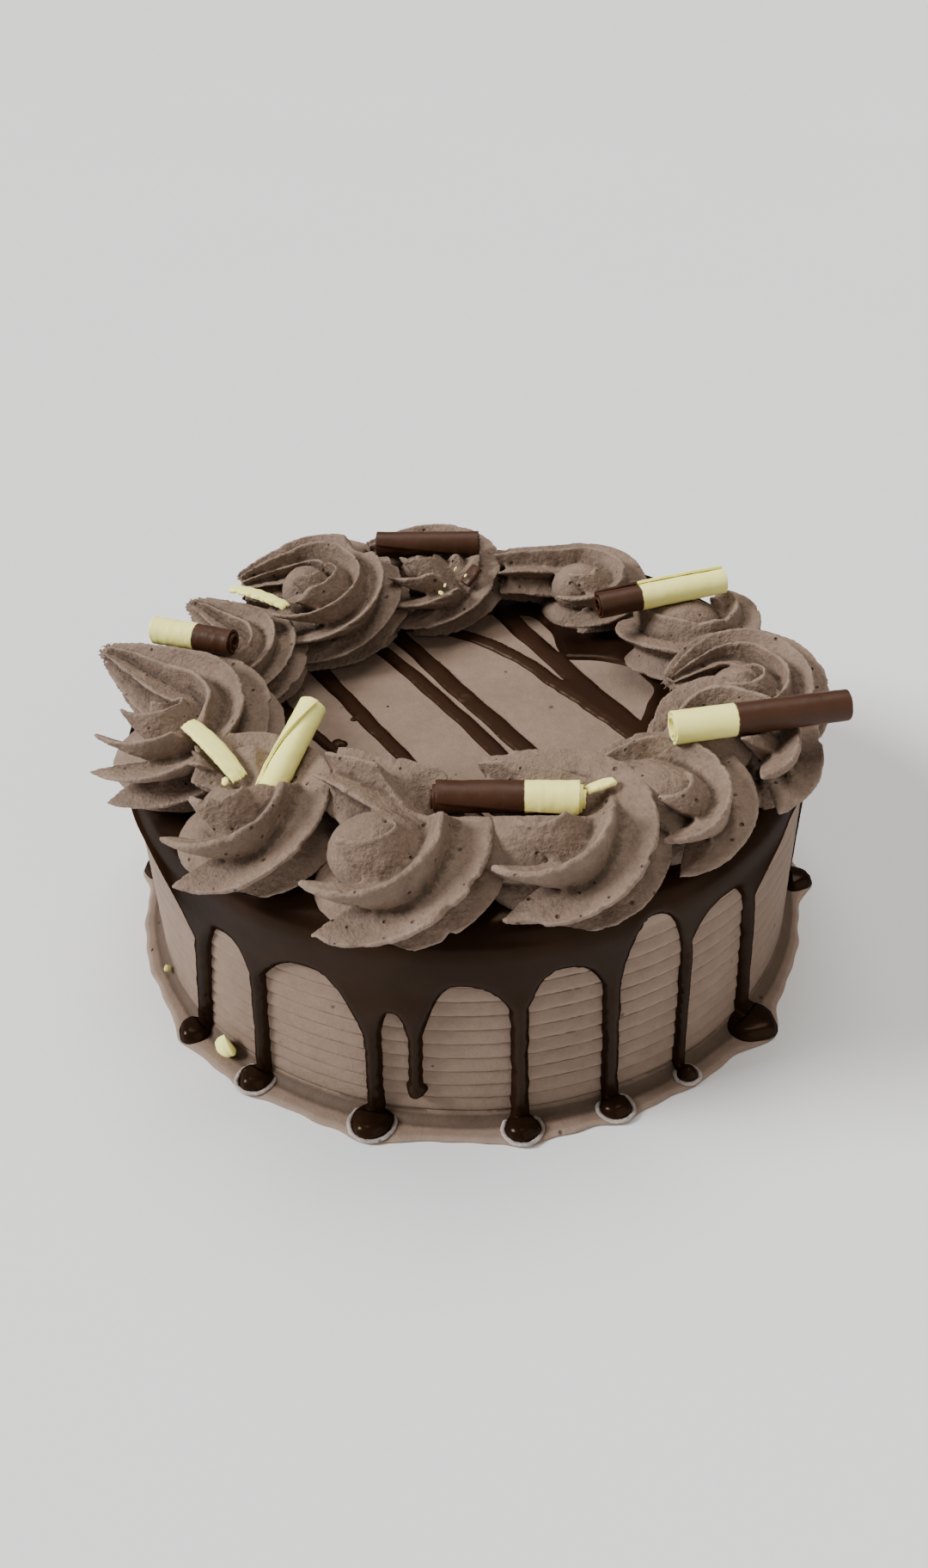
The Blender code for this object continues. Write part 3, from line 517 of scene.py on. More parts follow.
def airyTree():
    # Pushes a cream surface in and out: soft lumps, grain and burst air bubbles
    tree, given = newTree("airySurface", (
        ("Lump Height", "Float", 0.0003), ("Lump Scale", "Float", 120.0), ("Grain Height", "Float", 0.00008),
        ("Grain Scale", "Float", 900.0), ("Bubble Depth", "Float", 0.0005), ("Bubble Scale", "Float", 170.0),
        ("Bubble Share", "Float", 0.1), ("Seed", "Float", 0.0), ("Material", "Material", None)))
    here = place(tree, "GeometryNodeInputPosition").outputs[0]
    normal = place(tree, "GeometryNodeInputNormal").outputs[0]
    at = shifted(tree, here, given["Seed"])
    lump = (noise(tree, at, given["Lump Scale"], 2.0) - 0.5) * given["Lump Height"] * 2.0
    grain = (noise(tree, at, given["Grain Scale"], 3.0, 0.6) - 0.5) * given["Grain Height"] * 2.0
    bubble = airHoles(tree, at, given["Bubble Scale"], given["Bubble Share"], 0.14, 0.03)
    push = lump + grain - bubble * given["Bubble Depth"]
    pushed = moved(tree, given["Geometry"], *(side * push for side in parts(tree, normal)))
    # How far each spot stands out from its surroundings, in mm; the finish turns it into painted highlight on ridges
    # and painted shade in creases
    around = place(tree, "GeometryNodeBlurAttribute", data_type="FLOAT_VECTOR")
    vectors = [socket for socket in around.inputs if socket.type == "VECTOR"]
    feed(tree, vectors[0], here)
    around.inputs["Iterations"].default_value = 14
    apart = place(tree, "ShaderNodeVectorMath", {0: here, 1: around.outputs[0]}, operation="SUBTRACT")
    level = place(tree, "ShaderNodeVectorMath", {0: apart.outputs[0], 1: normal}, operation="DOT_PRODUCT")
    marked = place(tree, "GeometryNodeStoreNamedAttribute", {
        "Geometry": pushed, "Name": "relief"}, data_type="FLOAT", domain="POINT")
    feed(tree, marked.inputs["Value"], Wire(tree, level.outputs["Value"]) * 1000.0)
    endTree(tree, marked.outputs[0], given["Material"])
    return tree


airySurface = airyTree()


def makeCake():
    piece = newPiece("cakeBody", cakeLathe())
    addNodes(piece, combTree(), {"Material": spreadCream})
    addNodes(piece, airySurface, {
        "Lump Height": 0.00022, "Lump Scale": 60.0, "Grain Height": 0.00005, "Bubble Depth": 0.0004,
        "Bubble Share": 0.03, "Seed": 11.0, "Material": spreadCream})
    plainMesh(piece)
    standFor(piece, "cake")
    print("cake body", len(piece.data.polygons))


makeCake()


# Ganache: one drawing of the skin, wrapped over the rim and down the wall

ganache = {
    "sink": 0.35 * mm, "ring": 1.35 * mm, "wall": 1.9 * mm, "drip": 2.9 * mm, "stripe": 1.2 * mm,
    "edgeRound": 2.8 * mm, "innerRadius": 54 * mm, "lobe": 15.5 * mm, "lobeHeading": 37, "lobeWidth": 18,
    "neckDrop": 9 * mm, "spacing": 1.1 * mm, "lumps": 0.16 * mm,
}
# Middle line through three points in mm, then the widths at its two ends
stripes = (
    ((-48, 25), (-28.2, -10.5), (-8, -45), 6.0, 4.0), ((-31, 38), (-5, -3.2), (20, -49), 5.0, 5.2),
    ((-23, 43), (3.3, -3.7), (31, -50), 6.0, 6.2), ((-20, 46.5), (6, 33.8), (27, 8.4), 5.1, 5.2),
    ((25.5, 10.3), (36, -3.5), (50, -24), 5.2, 6.0), ((9, 60), (32.1, 13.3), (57, -32), 7.0, 6.8),
    ((-62, 10), (-48, -9.8), (-36.5, -25.5), 5.0, 3.4),
)
# Loose drops of glaze on the top: x, y, length and width in mm, heading
drops = (
    (-36.9, -19.5, 5.2, 3.6, -40), (-33, -7.2, 3.2, 2.4, 30), (-18.8, -30, 0.9, 0.8, 0),
    (8, -18, 0.7, 0.6, 0), (12, 12.5, 0.9, 0.7, 20), (-23.6, -1.2, 0.9, 0.7, 10),
)


def drawn(run, heading):  # a spot on the flat drawing of the skin
    return np.array((run * math.cos(heading * deg), run * math.sin(heading * deg)))


def beside(run, heading, aside):  # the same, moved sideways by a length measured on the cake
    out = max(float(wrapped(run)[0]), 10 * mm)
    return drawn(run, heading + aside / out / deg)


def dripEnd(drip):
    top, foot, half, height, radius, _ = drip
    centre = runAt(height * mm) if height else footEnd + poolOut - cake["footRound"]
    return top, foot, half * mm, radius * mm, centre


def neckHeight(index):
    return min(drips[index - 1][5], drips[index][5]) * mm - ganache["neckDrop"]


def outerEdge():
    points = []
    for index, drip in enumerate(drips):
        top, foot, half, radius, centre = dripEnd(drip)
        neck = runAt(neckHeight(index))
        sweep = math.asin(min(half / radius, 0.98))
        join = centre - radius * math.cos(sweep)
        down = np.linspace(0, 1, 14)[:-1]
        for side in (-1, 1):
            shares = down if side < 0 else down[::-1]
            if side > 0:
                for share in np.linspace(0, 1, 23):
                    turn = -(math.pi - sweep) + 2 * (math.pi - sweep) * share
                    uneven = 1 + 0.05 * math.sin(3 * turn + index) + 0.03 * math.sin(5 * turn + 2 * index)
                    points.append(beside(centre + radius * uneven * math.cos(turn), foot,
                                         radius * uneven * math.sin(turn)))
            for share in shares:
                run = neck + (join - neck) * share
                ripple = 1 + 0.07 * math.sin(2 * math.pi * run / cake["bandHeight"] + side)
                ripple += 0.05 * math.sin(run / mm * 0.37 + index * 1.9 + side)
                thin = 1 - 0.12 * math.sin(math.pi * share)
                points.append(beside(run, top + (foot - top) * share, side * half * ripple * thin))
        follow = drips[(index + 1) % len(drips)]
        start = top + half / cake["radius"] / deg
        gap = (follow[0] - follow[2] * mm / cake["radius"] / deg - start) % 360
        after = runAt(neckHeight((index + 1) % len(drips)))
        peak = runAt(drip[5] * mm)
        steps = max(8, int(gap * 1.4))
        for share in np.linspace(0, 1, steps)[1:-1]:
            lift = abs(2 * share - 1) ** 2.6
            side = neck if share < 0.5 else after
            wave = 0.5 * mm * math.sin(share * gap * 0.45 + index) * (1 - lift)
            points.append(drawn(peak + (side - peak) * lift + wave, start + gap * share))
    return np.array(points)


def innerEdge():
    heading = np.arange(300) * 1.2
    wave = 2.2 * np.sin(3 * heading * deg + 0.6) + 1.4 * np.sin(7 * heading * deg)
    wave += 0.5 * np.sin(17 * heading * deg + 1) + 0.3 * np.sin(29 * heading * deg)
    lobe = ganache["lobe"] * bumpNear(heading, ganache["lobeHeading"], ganache["lobeWidth"])
    return turned(ganache["innerRadius"] + wave * mm - lobe, heading * deg)


def stripeEdge(stripe, index):
    first, middle, last, wide, endWide = stripe
    first, middle, last = (np.array(point) * mm for point in (first, middle, last))
    bend = 2 * middle - (first + last) / 2
    left, right = [], []
    for share in np.linspace(0, 1, 56):
        spot = (1 - share) ** 2 * first + 2 * share * (1 - share) * bend + share ** 2 * last
        along = 2 * (1 - share) * (bend - first) + 2 * share * (last - bend)
        across = np.array((-along[1], along[0])) / np.linalg.norm(along)
        half = (wide + (endWide - wide) * share) * mm / 2
        for row, side in ((left, 1), (right, -1)):
            ripple = 1 + 0.05 * math.sin(19 * share + index + side) + 0.035 * math.sin(43 * share + 2 * side)
            row.append(spot + across * half * side * ripple)
    return np.array(left + right[::-1])


def dropEdge(drop):
    x, y, long, wide, heading = drop
    turn = np.arange(20) * 18 * deg
    c, s = math.cos(heading * deg), math.sin(heading * deg)
    a, b = long * mm / 2 * np.cos(turn), wide * mm / 2 * np.sin(turn) * (1 + 0.15 * np.cos(turn))
    return np.stack((x * mm + c * a - s * b, y * mm + s * a + c * b), -1)


def within(points, outline):
    after = np.roll(outline, -1, 0)
    found = np.zeros(len(points), bool)
    for a, b in zip(outline, after):
        if a[1] != b[1]:
            crosses = (a[1] > points[:, 1]) != (b[1] > points[:, 1])
            reach = a[0] + (points[:, 1] - a[1]) * (b[0] - a[0]) / (b[1] - a[1])
            found ^= crosses & (points[:, 0] < reach)
    return found


def nearestEdge(points, starts, ends):
    best = np.full(len(points), 1.0)
    along = ends - starts
    length = np.maximum((along ** 2).sum(1), 1e-14)
    for a, d, l in zip(starts, along, length):
        share = np.clip((points - a) @ d / l, 0, 1)
        gap = points - a - share[:, None] * d
        best = np.minimum(best, np.einsum("ij,ij->i", gap, gap))
    return np.sqrt(best)


def glazeFill(outer):
    # Rings of points as far apart as on the cake itself
    points, run, row = [], 2 * mm, 0
    while run < np.linalg.norm(outer, axis=1).max():
        out = float(wrapped(run)[0])
        count = max(6, int(2 * math.pi * out / ganache["spacing"]))
        heading = (np.arange(count) + 0.5 * (row % 2)) * 2 * math.pi / count
        points.append(turned(run, heading))
        run += ganache["spacing"] * 0.87
        row += 1
    return np.concatenate(points)


def triangles(points, edges, covered):
    every = [Vector((x / mm, y / mm)) for x, y in points]
    flat, _, tris, _, _, _ = delaunay_2d_cdt(every, edges, [], 0, 1e-4)
    flat = np.array([tuple(v) for v in flat]) * mm
    tris = np.array(tris)
    tris = tris[covered(flat[tris].mean(1))]
    used, tris = np.unique(tris, return_inverse=True)
    tris = tris.reshape(-1, 3)
    sides = np.concatenate((tris[:, [0, 1]], tris[:, [1, 2]], tris[:, [2, 0]]))
    key = sides[:, 0] * len(used) + sides[:, 1]
    back = sides[:, 1] * len(used) + sides[:, 0]
    return flat[used], tris, sides[~np.isin(key, back)]


def makeGanache():
    outer, inner = outerEdge(), innerEdge()
    bands = [stripeEdge(stripe, index) for index, stripe in enumerate(stripes)]
    spots = [dropEdge(drop) for drop in drops]
    points, edges = [], []
    for loop in [outer, inner] + bands + spots:
        start = len(points)
        points += [tuple(p) for p in loop]
        edges += [(start + k, start + (k + 1) % len(loop)) for k in range(len(loop))]

    def covered(where):
        held = within(where, outer) & ~within(where, inner)
        for loop in bands + spots:
            held |= within(where, loop)
        return held

    # First the outline of everything together, then that outline with the fill
    flat, tris, rim = triangles(points, edges, covered)
    keep = np.unique(rim)
    order = np.zeros(len(flat), int)
    order[keep] = np.arange(len(keep))
    border = flat[keep]
    fill = glazeFill(outer)
    fill = fill[covered(fill)]
    fill = fill[nearestEdge(fill, flat[rim[:, 0]], flat[rim[:, 1]]) > 0.45 * mm]
    flat, tris, rim = triangles(np.concatenate((border, fill)), order[rim].tolist(), covered)
    count = len(flat)
    run = np.hypot(flat[:, 0], flat[:, 1])
    heading = np.arctan2(flat[:, 1], flat[:, 0])
    out, height, outward, upward = wrapped(run)
    normal = turned(outward, heading, upward)
    skin = turned(out, heading, height)
    share = np.clip(nearestEdge(skin, skin[rim[:, 0]], skin[rim[:, 1]]) / ganache["edgeRound"], 0, 1)
    ring = ease((run - ganache["innerRadius"] + 4 * mm) / (6 * mm))
    wall = ease((run - flatEnd) / cake["rimRound"])
    drip = ease((run - runAt(52 * mm)) / (12 * mm))
    thick = ganache["stripe"] + (ganache["ring"] - ganache["stripe"]) * ring
    thick = thick + (ganache["wall"] - ganache["ring"]) * wall + (ganache["drip"] - ganache["wall"]) * drip
    bead = np.zeros(count)  # runs swell towards their round ends
    for _, foot, _, radius, centre in map(dripEnd, drips):
        there = drawn(centre, foot)
        bead += 0.5 * mm * np.exp(-((flat - there) ** 2).sum(1) / (radius * 0.9) ** 2)
    lumps = np.zeros(count)
    for a, b, c in ((61, 47, 0.3), (-83, 59, 1.9), (107, -131, 4.0)):
        lumps += np.sin(skin[:, 0] * a + skin[:, 1] * b + skin[:, 2] * 90 + c) / 3
    full = np.sqrt(1 - (1 - share) ** 2)
    rise = full * (thick + bead + ganache["lumps"] * lumps)
    upper = skin + normal * rise[:, None]
    lower = skin - normal * (ganache["sink"] * (0.4 + 0.6 * full))[:, None]
    faces = np.concatenate((tris + count, tris[:, ::-1],
                            np.stack((rim[:, 0], rim[:, 1], rim[:, 1] + count), -1),
                            np.stack((rim[:, 0], rim[:, 1] + count, rim[:, 0] + count), -1)))
    piece = solidPiece("glaze", np.concatenate((lower, upper)), faces.tolist(), pouredGanache)
    standFor(piece, "ganache")
    print("ganache", len(piece.data.polygons))


makeGanache()


# Pale raised ring round the pools at the foot

paleRings = {"height": 0.9 * mm, "width": 1.3 * mm, "ragged": 0.5 * mm, "pools": (1, 2, 4, 5, 6)}


def paleRingTree():
    tree, given = newTree("poolRing", (
        ("Radius", "Float", 0.005), ("Width", "Float", paleRings["width"]), ("Height", "Float", paleRings["height"]),
        ("Ragged", "Float", paleRings["ragged"]), ("Seed", "Float", 0.0), ("Material", "Material", None)), False)
    loop = place(tree, "GeometryNodeCurvePrimitiveCircle", {"Resolution": 110, "Radius": given["Radius"]})
    here, x, y, _ = position(tree)
    at = shifted(tree, here, given["Seed"])
    stir = (noise(tree, at, 260.0, 3.0, 0.7) - 0.5) * given["Ragged"] * 2.0 / given["Radius"]
    wavy = moved(tree, loop.outputs[0], x * stir, y * stir, 0.0)
    thick = noise(tree, at, 700.0, 2.0, 0.7) * 0.9 + 0.45
    swell = place(tree, "GeometryNodeSetCurveRadius", {"Curve": wavy, "Radius": thick})
    section = place(tree, "GeometryNodeCurvePrimitiveCircle", {"Resolution": 10, "Radius": given["Width"] * 0.5})
    flat = place(tree, "GeometryNodeTransform", {
        "Geometry": section.outputs[0], "Scale": joined(tree, 1.0, given["Height"] / given["Width"], 1.0)})
    ring = place(tree, "GeometryNodeCurveToMesh", {"Curve": swell.outputs[0], "Profile Curve": flat.outputs[0]})
    shift = (noise(tree, here, 1500.0, 2.0) - 0.5) * given["Ragged"] * 0.8
    endTree(tree, moved(tree, ring.outputs[0], shift, shift * -0.5, shift), given["Material"])
    return tree


def makePaleRings():
    tree = paleRingTree()
    for index in paleRings["pools"]:
        _, foot, _, radius, centre = dripEnd(drips[index])
        out = cake["radius"] + cake["footRound"] + centre - footEnd
        ring = newPiece("poolCrust%d" % index)
        addNodes(ring, tree, {"Radius": radius + 0.25 * mm, "Seed": index * 3.1, "Material": poolCrust})
        ring.location = (*drawn(out, foot), cake["skirtHeight"] + 0.25 * mm)
        plainMesh(ring)
        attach(ring, "root")
    print("pool crusts", len(paleRings["pools"]))


makePaleRings()


# Places of the curls and shards, given before the rosettes because the cream is pressed in under them
# Rolled curls: two ends in mm, outer diameter, where the colour changes (share of the length, 2 for one
# colour), its slant round the roll, the chocolate at the first end, how far the outer layer's edge runs
# askew, how far each inner layer sticks out in mm
curls = {
    "curl_front": ((-9, -71, 89), (27, -73, 89), 9.0, 0.62, 0.0, "brown", 0.25, 1.6),
    "curl_right": ((52, -52.5, 95), (99, -46, 96), 9.0, 0.37, 0.01, "white", 0.5, 0.5),
    "curl_right_back": ((39.5, 12, 94.5), (78, 21, 96.5), 8.6, 0.33, 0.0, "brown", 0.2, 0.7),
    "curl_back": ((-27.5, 60, 92), (6, 58.5, 92), 8.2, 2.0, 0.0, "brown", 0.3, 0.5),
    "curl_left": ((-90, 6, 95), (-66.5, -2, 94.5), 8.2, 0.6, 0.03, "white", 0.2, 1.3),
    "curl_white": ((-51.5, -63, 86.5), (-40.5, -39, 96.5), 8.0, 2.0, 0.0, "white", 0.7, 0.6),
}
# Flat shards: two ends in mm, width, thickness, how far the middle bows up, ragged share, finish
shards = {
    "shard_left": ((-74, -42, 94.5), (-58.5, -59.5, 88), 5.6, 1.5, 1.6, 0.12, "white"),
    "shard_back_left": ((-71, 31, 94), (-53, 21, 92.5), 4.6, 1.2, 1.0, 0.35, "white"),
    "shard_front": ((28.5, -72.5, 91), (36, -69.5, 91.5), 3.4, 1.0, 0.3, 0.2, "white"),
    "shard_brown": ((0.5, 43.5, 85.5), (5, 47, 90), 5.0, 1.4, 0.2, 0.2, "brown"),
}


# Rosettes: a star-shaped rope of cream laid round a rounded lump, its tail drawn off straight

rosette = {
    "ropeRadius": 14.4 * mm, "pathRadius": 12.6 * mm, "ropeHeight": 9.5 * mm, "crestHeading": 37, "crownLag": 34,
    "lowerLag": 24, "twist": 55, "tailShare": 0.42, "wide": 1.03, "tall": 0.92, "footSpread": 0.12,
    "lumpRadius": 8.8 * mm, "baseRadius": 17 * mm, "skin": 0.45 * mm, "ringShift": -12 * mm, "floor": 71.6 * mm,
}
# Heading and radius on the ring, size; heading, reach and height of the tail's tip, how far the rope has
# turned by then, how much of it is pinched away there; crests of the star and their depth; where the lump
# sits aside, ahead and up, how large and how long it is. Degrees, mm and shares
rosettes = (
    (-107, 74, 1.08, 120, 25, 17, 264, 0.50, 7, 0.46, -1.5, -2.0, 11.0, 1.05, 1.25),
    (-74, 69, 1.08, 128, 24, 13, 262, 0.60, 7, 0.46, -3.0, -4.0, 9.5, 1.08, 1.85),
    (-47, 71, 0.90, 160, 16, 14, 266, 0.70, 7, 0.42, -1.5, -3.5, 12.5, 1.20, 1.40),
    (-25, 74, 0.97, 188, 18, 10, 272, 0.90, 7, 0.44, -3.5, -2.0, 12.0, 1.15, 1.20),
    (-4, 76, 0.97, 176, 18, 13, 296, 0.80, 11, 0.38, 1.0, -2.0, 12.5, 0.80, 1.30),
    (23.5, 76.5, 0.86, 50, 10, 14, 320, 0.60, 7, 0.40, -5.0, -3.0, 14.0, 1.20, 1.35),
    (58.2, 73.5, 0.77, 170, 26, 11, 300, 0.25, 7, 0.42, -1.0, -3.5, 12.5, 1.12, 1.20),
    (100, 71, 0.96, 152, 20, 13, 282, 0.70, 10, 0.38, 0.0, -2.0, 11.5, 0.85, 1.10),
    (131, 73, 1.10, 166, 22, 13, 286, 0.70, 12, 0.36, -1.0, -2.5, 13.5, 0.82, 1.00),
    (161, 75, 0.85, 119, 26, 14, 264, 0.85, 11, 0.38, 0.0, 0.0, 11.5, 0.80, 1.00),
    (-170, 83, 1.08, 125, 38, 16, 266, 0.90, 10, 0.42, 2.0, 2.0, 6.0, 0.80, 1.00),
    (-139, 79, 1.00, 132, 17, 16, 272, 0.60, 7, 0.46, 2.5, -3.0, 11.5, 1.02, 1.30),
)


def ropeTree():
    tree, given = newTree("pipedRope", (
        ("Size", "Float", 1.0), ("Tail Heading", "Float", 0.0), ("Tail Reach", "Float", 0.024),
        ("Tail Height", "Float", 0.012), ("Turn", "Float", 4.5), ("Pinch", "Float", 0.7), ("Crests", "Float", 6.0),
        ("Crest Depth", "Float", 0.45), ("Lip Thickness", "Float", 0.16),
        ("Rope Radius", "Float", rosette["ropeRadius"]), ("Path Radius", "Float", rosette["pathRadius"]),
        ("Rope Height", "Float", rosette["ropeHeight"]),
        ("Crest Heading", "Float", rosette["crestHeading"] * deg), ("Crown Lag", "Float", rosette["crownLag"] * deg),
        ("Lower Lag", "Float", rosette["lowerLag"] * deg), ("Twist", "Float", rosette["twist"] * deg),
        ("Lump Place", "Vector", None), ("Lump Radius", "Float", rosette["lumpRadius"]), ("Lump Long", "Float", 1.2),
        ("Ragged", "Float", 0.032), ("Sway", "Float", 0.06), ("Seed", "Float", 0.0), ("Material", "Material", None)),
        False)
    grid = place(tree, "GeometryNodeMeshGrid", {"Size X": 1.0, "Size Y": 1.0, "Vertices X": 320, "Vertices Y": 289})
    _, x, y, _ = position(tree)
    share, spin = x + 0.5, (y + 0.5) * (2 * math.pi)
    up, side = spin.through("SINE"), spin.through("COSINE")
    ring = given["Path Radius"]
    reach = given["Tail Reach"] / given["Size"]
    lean = (ring / reach).through("ARCCOSINE")  # the tail leaves the ring here, as a straight line
    straight = (reach * reach - ring * ring).through("SQRT")
    bent = (given["Turn"] - lean) * ring
    along = share * (bent + straight)
    past = (along - bent).through("MAXIMUM", 0.0)
    crest = given["Crest Heading"] - given["Twist"] * ramp(share, 0.02, 0.5).less(1.0)
    valley = ((spin - crest) * given["Crests"] * 0.5).through("SINE").through("ABSOLUTE")
    valley = ((valley - given["Lip Thickness"]) / given["Lip Thickness"].less(1.0)).through("MAXIMUM", 0.0) ** 0.85
    lip = valley.less(1.0) ** 2.0
    at = shifted(tree, joined(tree, share * 2.2, side * 0.6, up * 0.6), given["Seed"])
    sway = (noise(tree, at, 1.6, 1.0) - 0.5) * given["Sway"] * 2.0
    tear = (noise(tree, at, 16.0, 3.0, 0.65) - 0.5) * given["Ragged"] * 2.0
    notch = ramp(noise(tree, at, 6.0, 1.0), 0.60, 0.70) * given["Ragged"] * -2.2
    pinched = ramp(share, 1 - rosette["tailShare"], 1.0, False)
    thinned = pinched ** 1.4 * given["Pinch"]
    radius = given["Rope Radius"] * thinned.less(1.0) * (given["Crest Depth"] * valley).less(1.0)
    radius = radius * (sway + (tear + notch) * lip + 1.0)
    begin = ramp(share, 0.0, 0.4).less(1.0)
    lag = (given["Crown Lag"] * valley + given["Lower Lag"] * (up.less(1.0) * 0.5)) * begin
    heading = given["Tail Heading"] - given["Turn"] + along.through("MINIMUM", bent) / ring + lag
    past = past * (lip * 0.16 + tear * 1.5 * lip + 1.0)  # the crests are pulled furthest
    height = given["Rope Height"] + (given["Tail Height"] / given["Size"] - given["Rope Height"]) * ramp(
        share, 1 - rosette["tailShare"], 1.0)
    wide = up.less(1.0) * rosette["footSpread"] * 0.5 + rosette["wide"]
    out = ring + radius * side * wide
    rise = height + radius * up * rosette["tall"]
    cosine, sine = heading.through("COSINE"), heading.through("SINE")
    # The two ends close on one point each
    deep = given["Tail Heading"] - given["Turn"] + given["Crown Lag"] * 1.2 + given["Lower Lag"] * 0.5
    opened = ramp(share, 0.0, 0.012, False)
    shut = ramp(share, 0.993, 1.0, False)
    ends = []
    for point, first, last in (
            (out * cosine - past * sine, deep.through("COSINE") * ring,
             given["Tail Heading"].through("COSINE") * reach),
            (out * sine + past * cosine, deep.through("SINE") * ring, given["Tail Heading"].through("SINE") * reach),
            (rise, given["Rope Height"], height)):
        value = point * opened + opened.less(1.0) * first
        ends.append((value + (last - value) * shut) * given["Size"])
    wound = moved(tree, grid.outputs[0], *ends, way="Position")
    rope = place(tree, "GeometryNodeMergeByDistance", {"Geometry": wound, "Distance": 0.00002})
    lump = place(tree, "GeometryNodeMeshIcoSphere", {"Radius": given["Lump Radius"] * given["Size"],
                                                     "Subdivisions": 6})
    lumpAt = place(tree, "GeometryNodeTransform", {
        "Geometry": lump.outputs[0], "Translation": given["Lump Place"],
        "Scale": joined(tree, given["Lump Long"], 1.0, 1.0)})
    base = place(tree, "GeometryNodeMeshIcoSphere", {"Radius": given["Size"] * rosette["baseRadius"],
                                                     "Subdivisions": 5})
    baseAt = place(tree, "GeometryNodeTransform", {"Geometry": base.outputs[0], "Scale": (1.0, 1.0, 0.45)})
    both = place(tree, "GeometryNodeJoinGeometry")
    for geometry in (rope.outputs[0], lumpAt.outputs[0], baseAt.outputs[0]):
        tree.links.new(geometry, both.inputs[0])
    endTree(tree, both.outputs[0], given["Material"])
    return tree


def pressTree():
    # Cream gives way under a piece of chocolate and rises in a shallow bowl beside it
    tree, given = newTree("pressedUnder", (
        ("From", "Vector", None), ("To", "Vector", None), ("Radius", "Float", 0.004), ("Room", "Float", 0.0002),
        ("Rise", "Float", 0.65), ("Material", "Material", None)))
    _, x, y, z = position(tree)
    fromX, fromY, fromZ = parts(tree, given["From"])
    toX, toY, toZ = parts(tree, given["To"])
    longX, longY = toX - fromX, toY - fromY
    along = ((x - fromX) * longX + (y - fromY) * longY) / (longX * longX + longY * longY)
    along = along.through("MAXIMUM", 0.0).through("MINIMUM", 1.0)
    besideX, besideY = x - fromX - longX * along, y - fromY - longY * along
    away = (besideX * besideX + besideY * besideY).through("SQRT") / given["Radius"]
    under = away.through("MINIMUM", 0.7)
    past = (away - 0.7).through("MAXIMUM", 0.0)
    bowl = (under * under).less(1.0).through("SQRT") - past * given["Rise"] - past * past * 0.12
    limit = fromZ + (toZ - fromZ) * along - given["Room"] - bowl * given["Radius"]
    height = z.through("SMOOTH_MIN", limit, 0.0006)
    endTree(tree, moved(tree, given["Geometry"], x, y, height, way="Position"), given["Material"])
    return tree


# How near a curl or shard presses into a rosette, and how much of the white curl is stuck into the cream
pressing = {"reach": 30 * mm, "stuckShare": 0.24}


def pressedBy(centre):
    # Curls and shards whose middle line passes over a rosette: ends and radius
    found = []
    for node, row in (*curls.items(), *shards.items()):
        first, last, across = Vector(row[0]) * mm, Vector(row[1]) * mm, row[2]
        if node == "curl_white":  # its lower end is stuck into the cream
            first = first.lerp(last, pressing["stuckShare"])
        along = (last - first).xy
        share = min(max((centre.xy - first.xy).dot(along) / along.length_squared, 0), 1)
        if (first.xy + along * share - centre.xy).length < pressing["reach"]:
            found.append((first, last, across * mm / 2))
    return found


def cutFlat(mesh, level):
    # Cream ends where it meets the glaze, a hair below its surface
    work = bmesh.new()
    work.from_mesh(mesh)
    geom = work.verts[:] + work.edges[:] + work.faces[:]
    cut = bmesh.ops.bisect_plane(work, geom=geom, plane_co=(0, 0, level), plane_no=(0, 0, -1), clear_outer=True)
    rim = [e for e in cut["geom_cut"] if isinstance(e, bmesh.types.BMEdge)]
    bmesh.ops.triangle_fill(work, edges=rim, use_beauty=True)
    bmesh.ops.recalc_face_normals(work, faces=work.faces)
    work.to_mesh(mesh)
    work.free()


def makeRosettes():
    tree, press = ropeTree(), pressTree()
    for index, row in enumerate(rosettes):
        heading, out, size, tail, reach, tip, turn, pinch, crests, depth, aside, ahead, high, big, long = row
        piece = newPiece("rosette%02d" % (index + 1))
        x, y = drawn(out * mm, heading)
        piece.location = (x, y + rosette["ringShift"], rosette["floor"])
        addNodes(piece, tree, {
            "Size": size, "Tail Heading": tail * deg, "Tail Reach": reach * mm, "Tail Height": tip * mm,
            "Turn": turn * deg, "Pinch": pinch, "Crests": float(crests), "Crest Depth": depth,
            "Crest Heading": (rosette["crestHeading"] + 5 * math.sin(index * 2.3)) * deg,
            "Lump Place": (aside * mm, ahead * mm, high * mm * size), "Lump Radius": big * rosette["lumpRadius"],
            "Lump Long": long, "Seed": 4.0 + index * 2.7, "Material": pipedCream})
        for first, last, radius in pressedBy(piece.location):
            addNodes(piece, press, {"From": first - piece.location, "To": last - piece.location,
                                    "Radius": radius, "Material": pipedCream})
        skin = piece.modifiers.new("skin", "REMESH")
        skin.mode = "VOXEL"
        skin.voxel_size = rosette["skin"]
        addNodes(piece, airySurface, {
            "Lump Height": 0.0005, "Lump Scale": 150.0, "Grain Height": 0.00022, "Bubble Depth": 0.0009,
            "Bubble Share": 0.2, "Seed": 20.0 + index, "Material": pipedCream})
        plainMesh(piece)
        cutFlat(piece.data, rosette["floor"] - 0.5 * mm)
        piece.data.shade_smooth()
        standFor(piece, "rosette_%02d" % (index + 1))
        print(piece.name, len(piece.data.polygons))


makeRosettes()


# Rolled curls: a thin sheet wound up a little more than twice

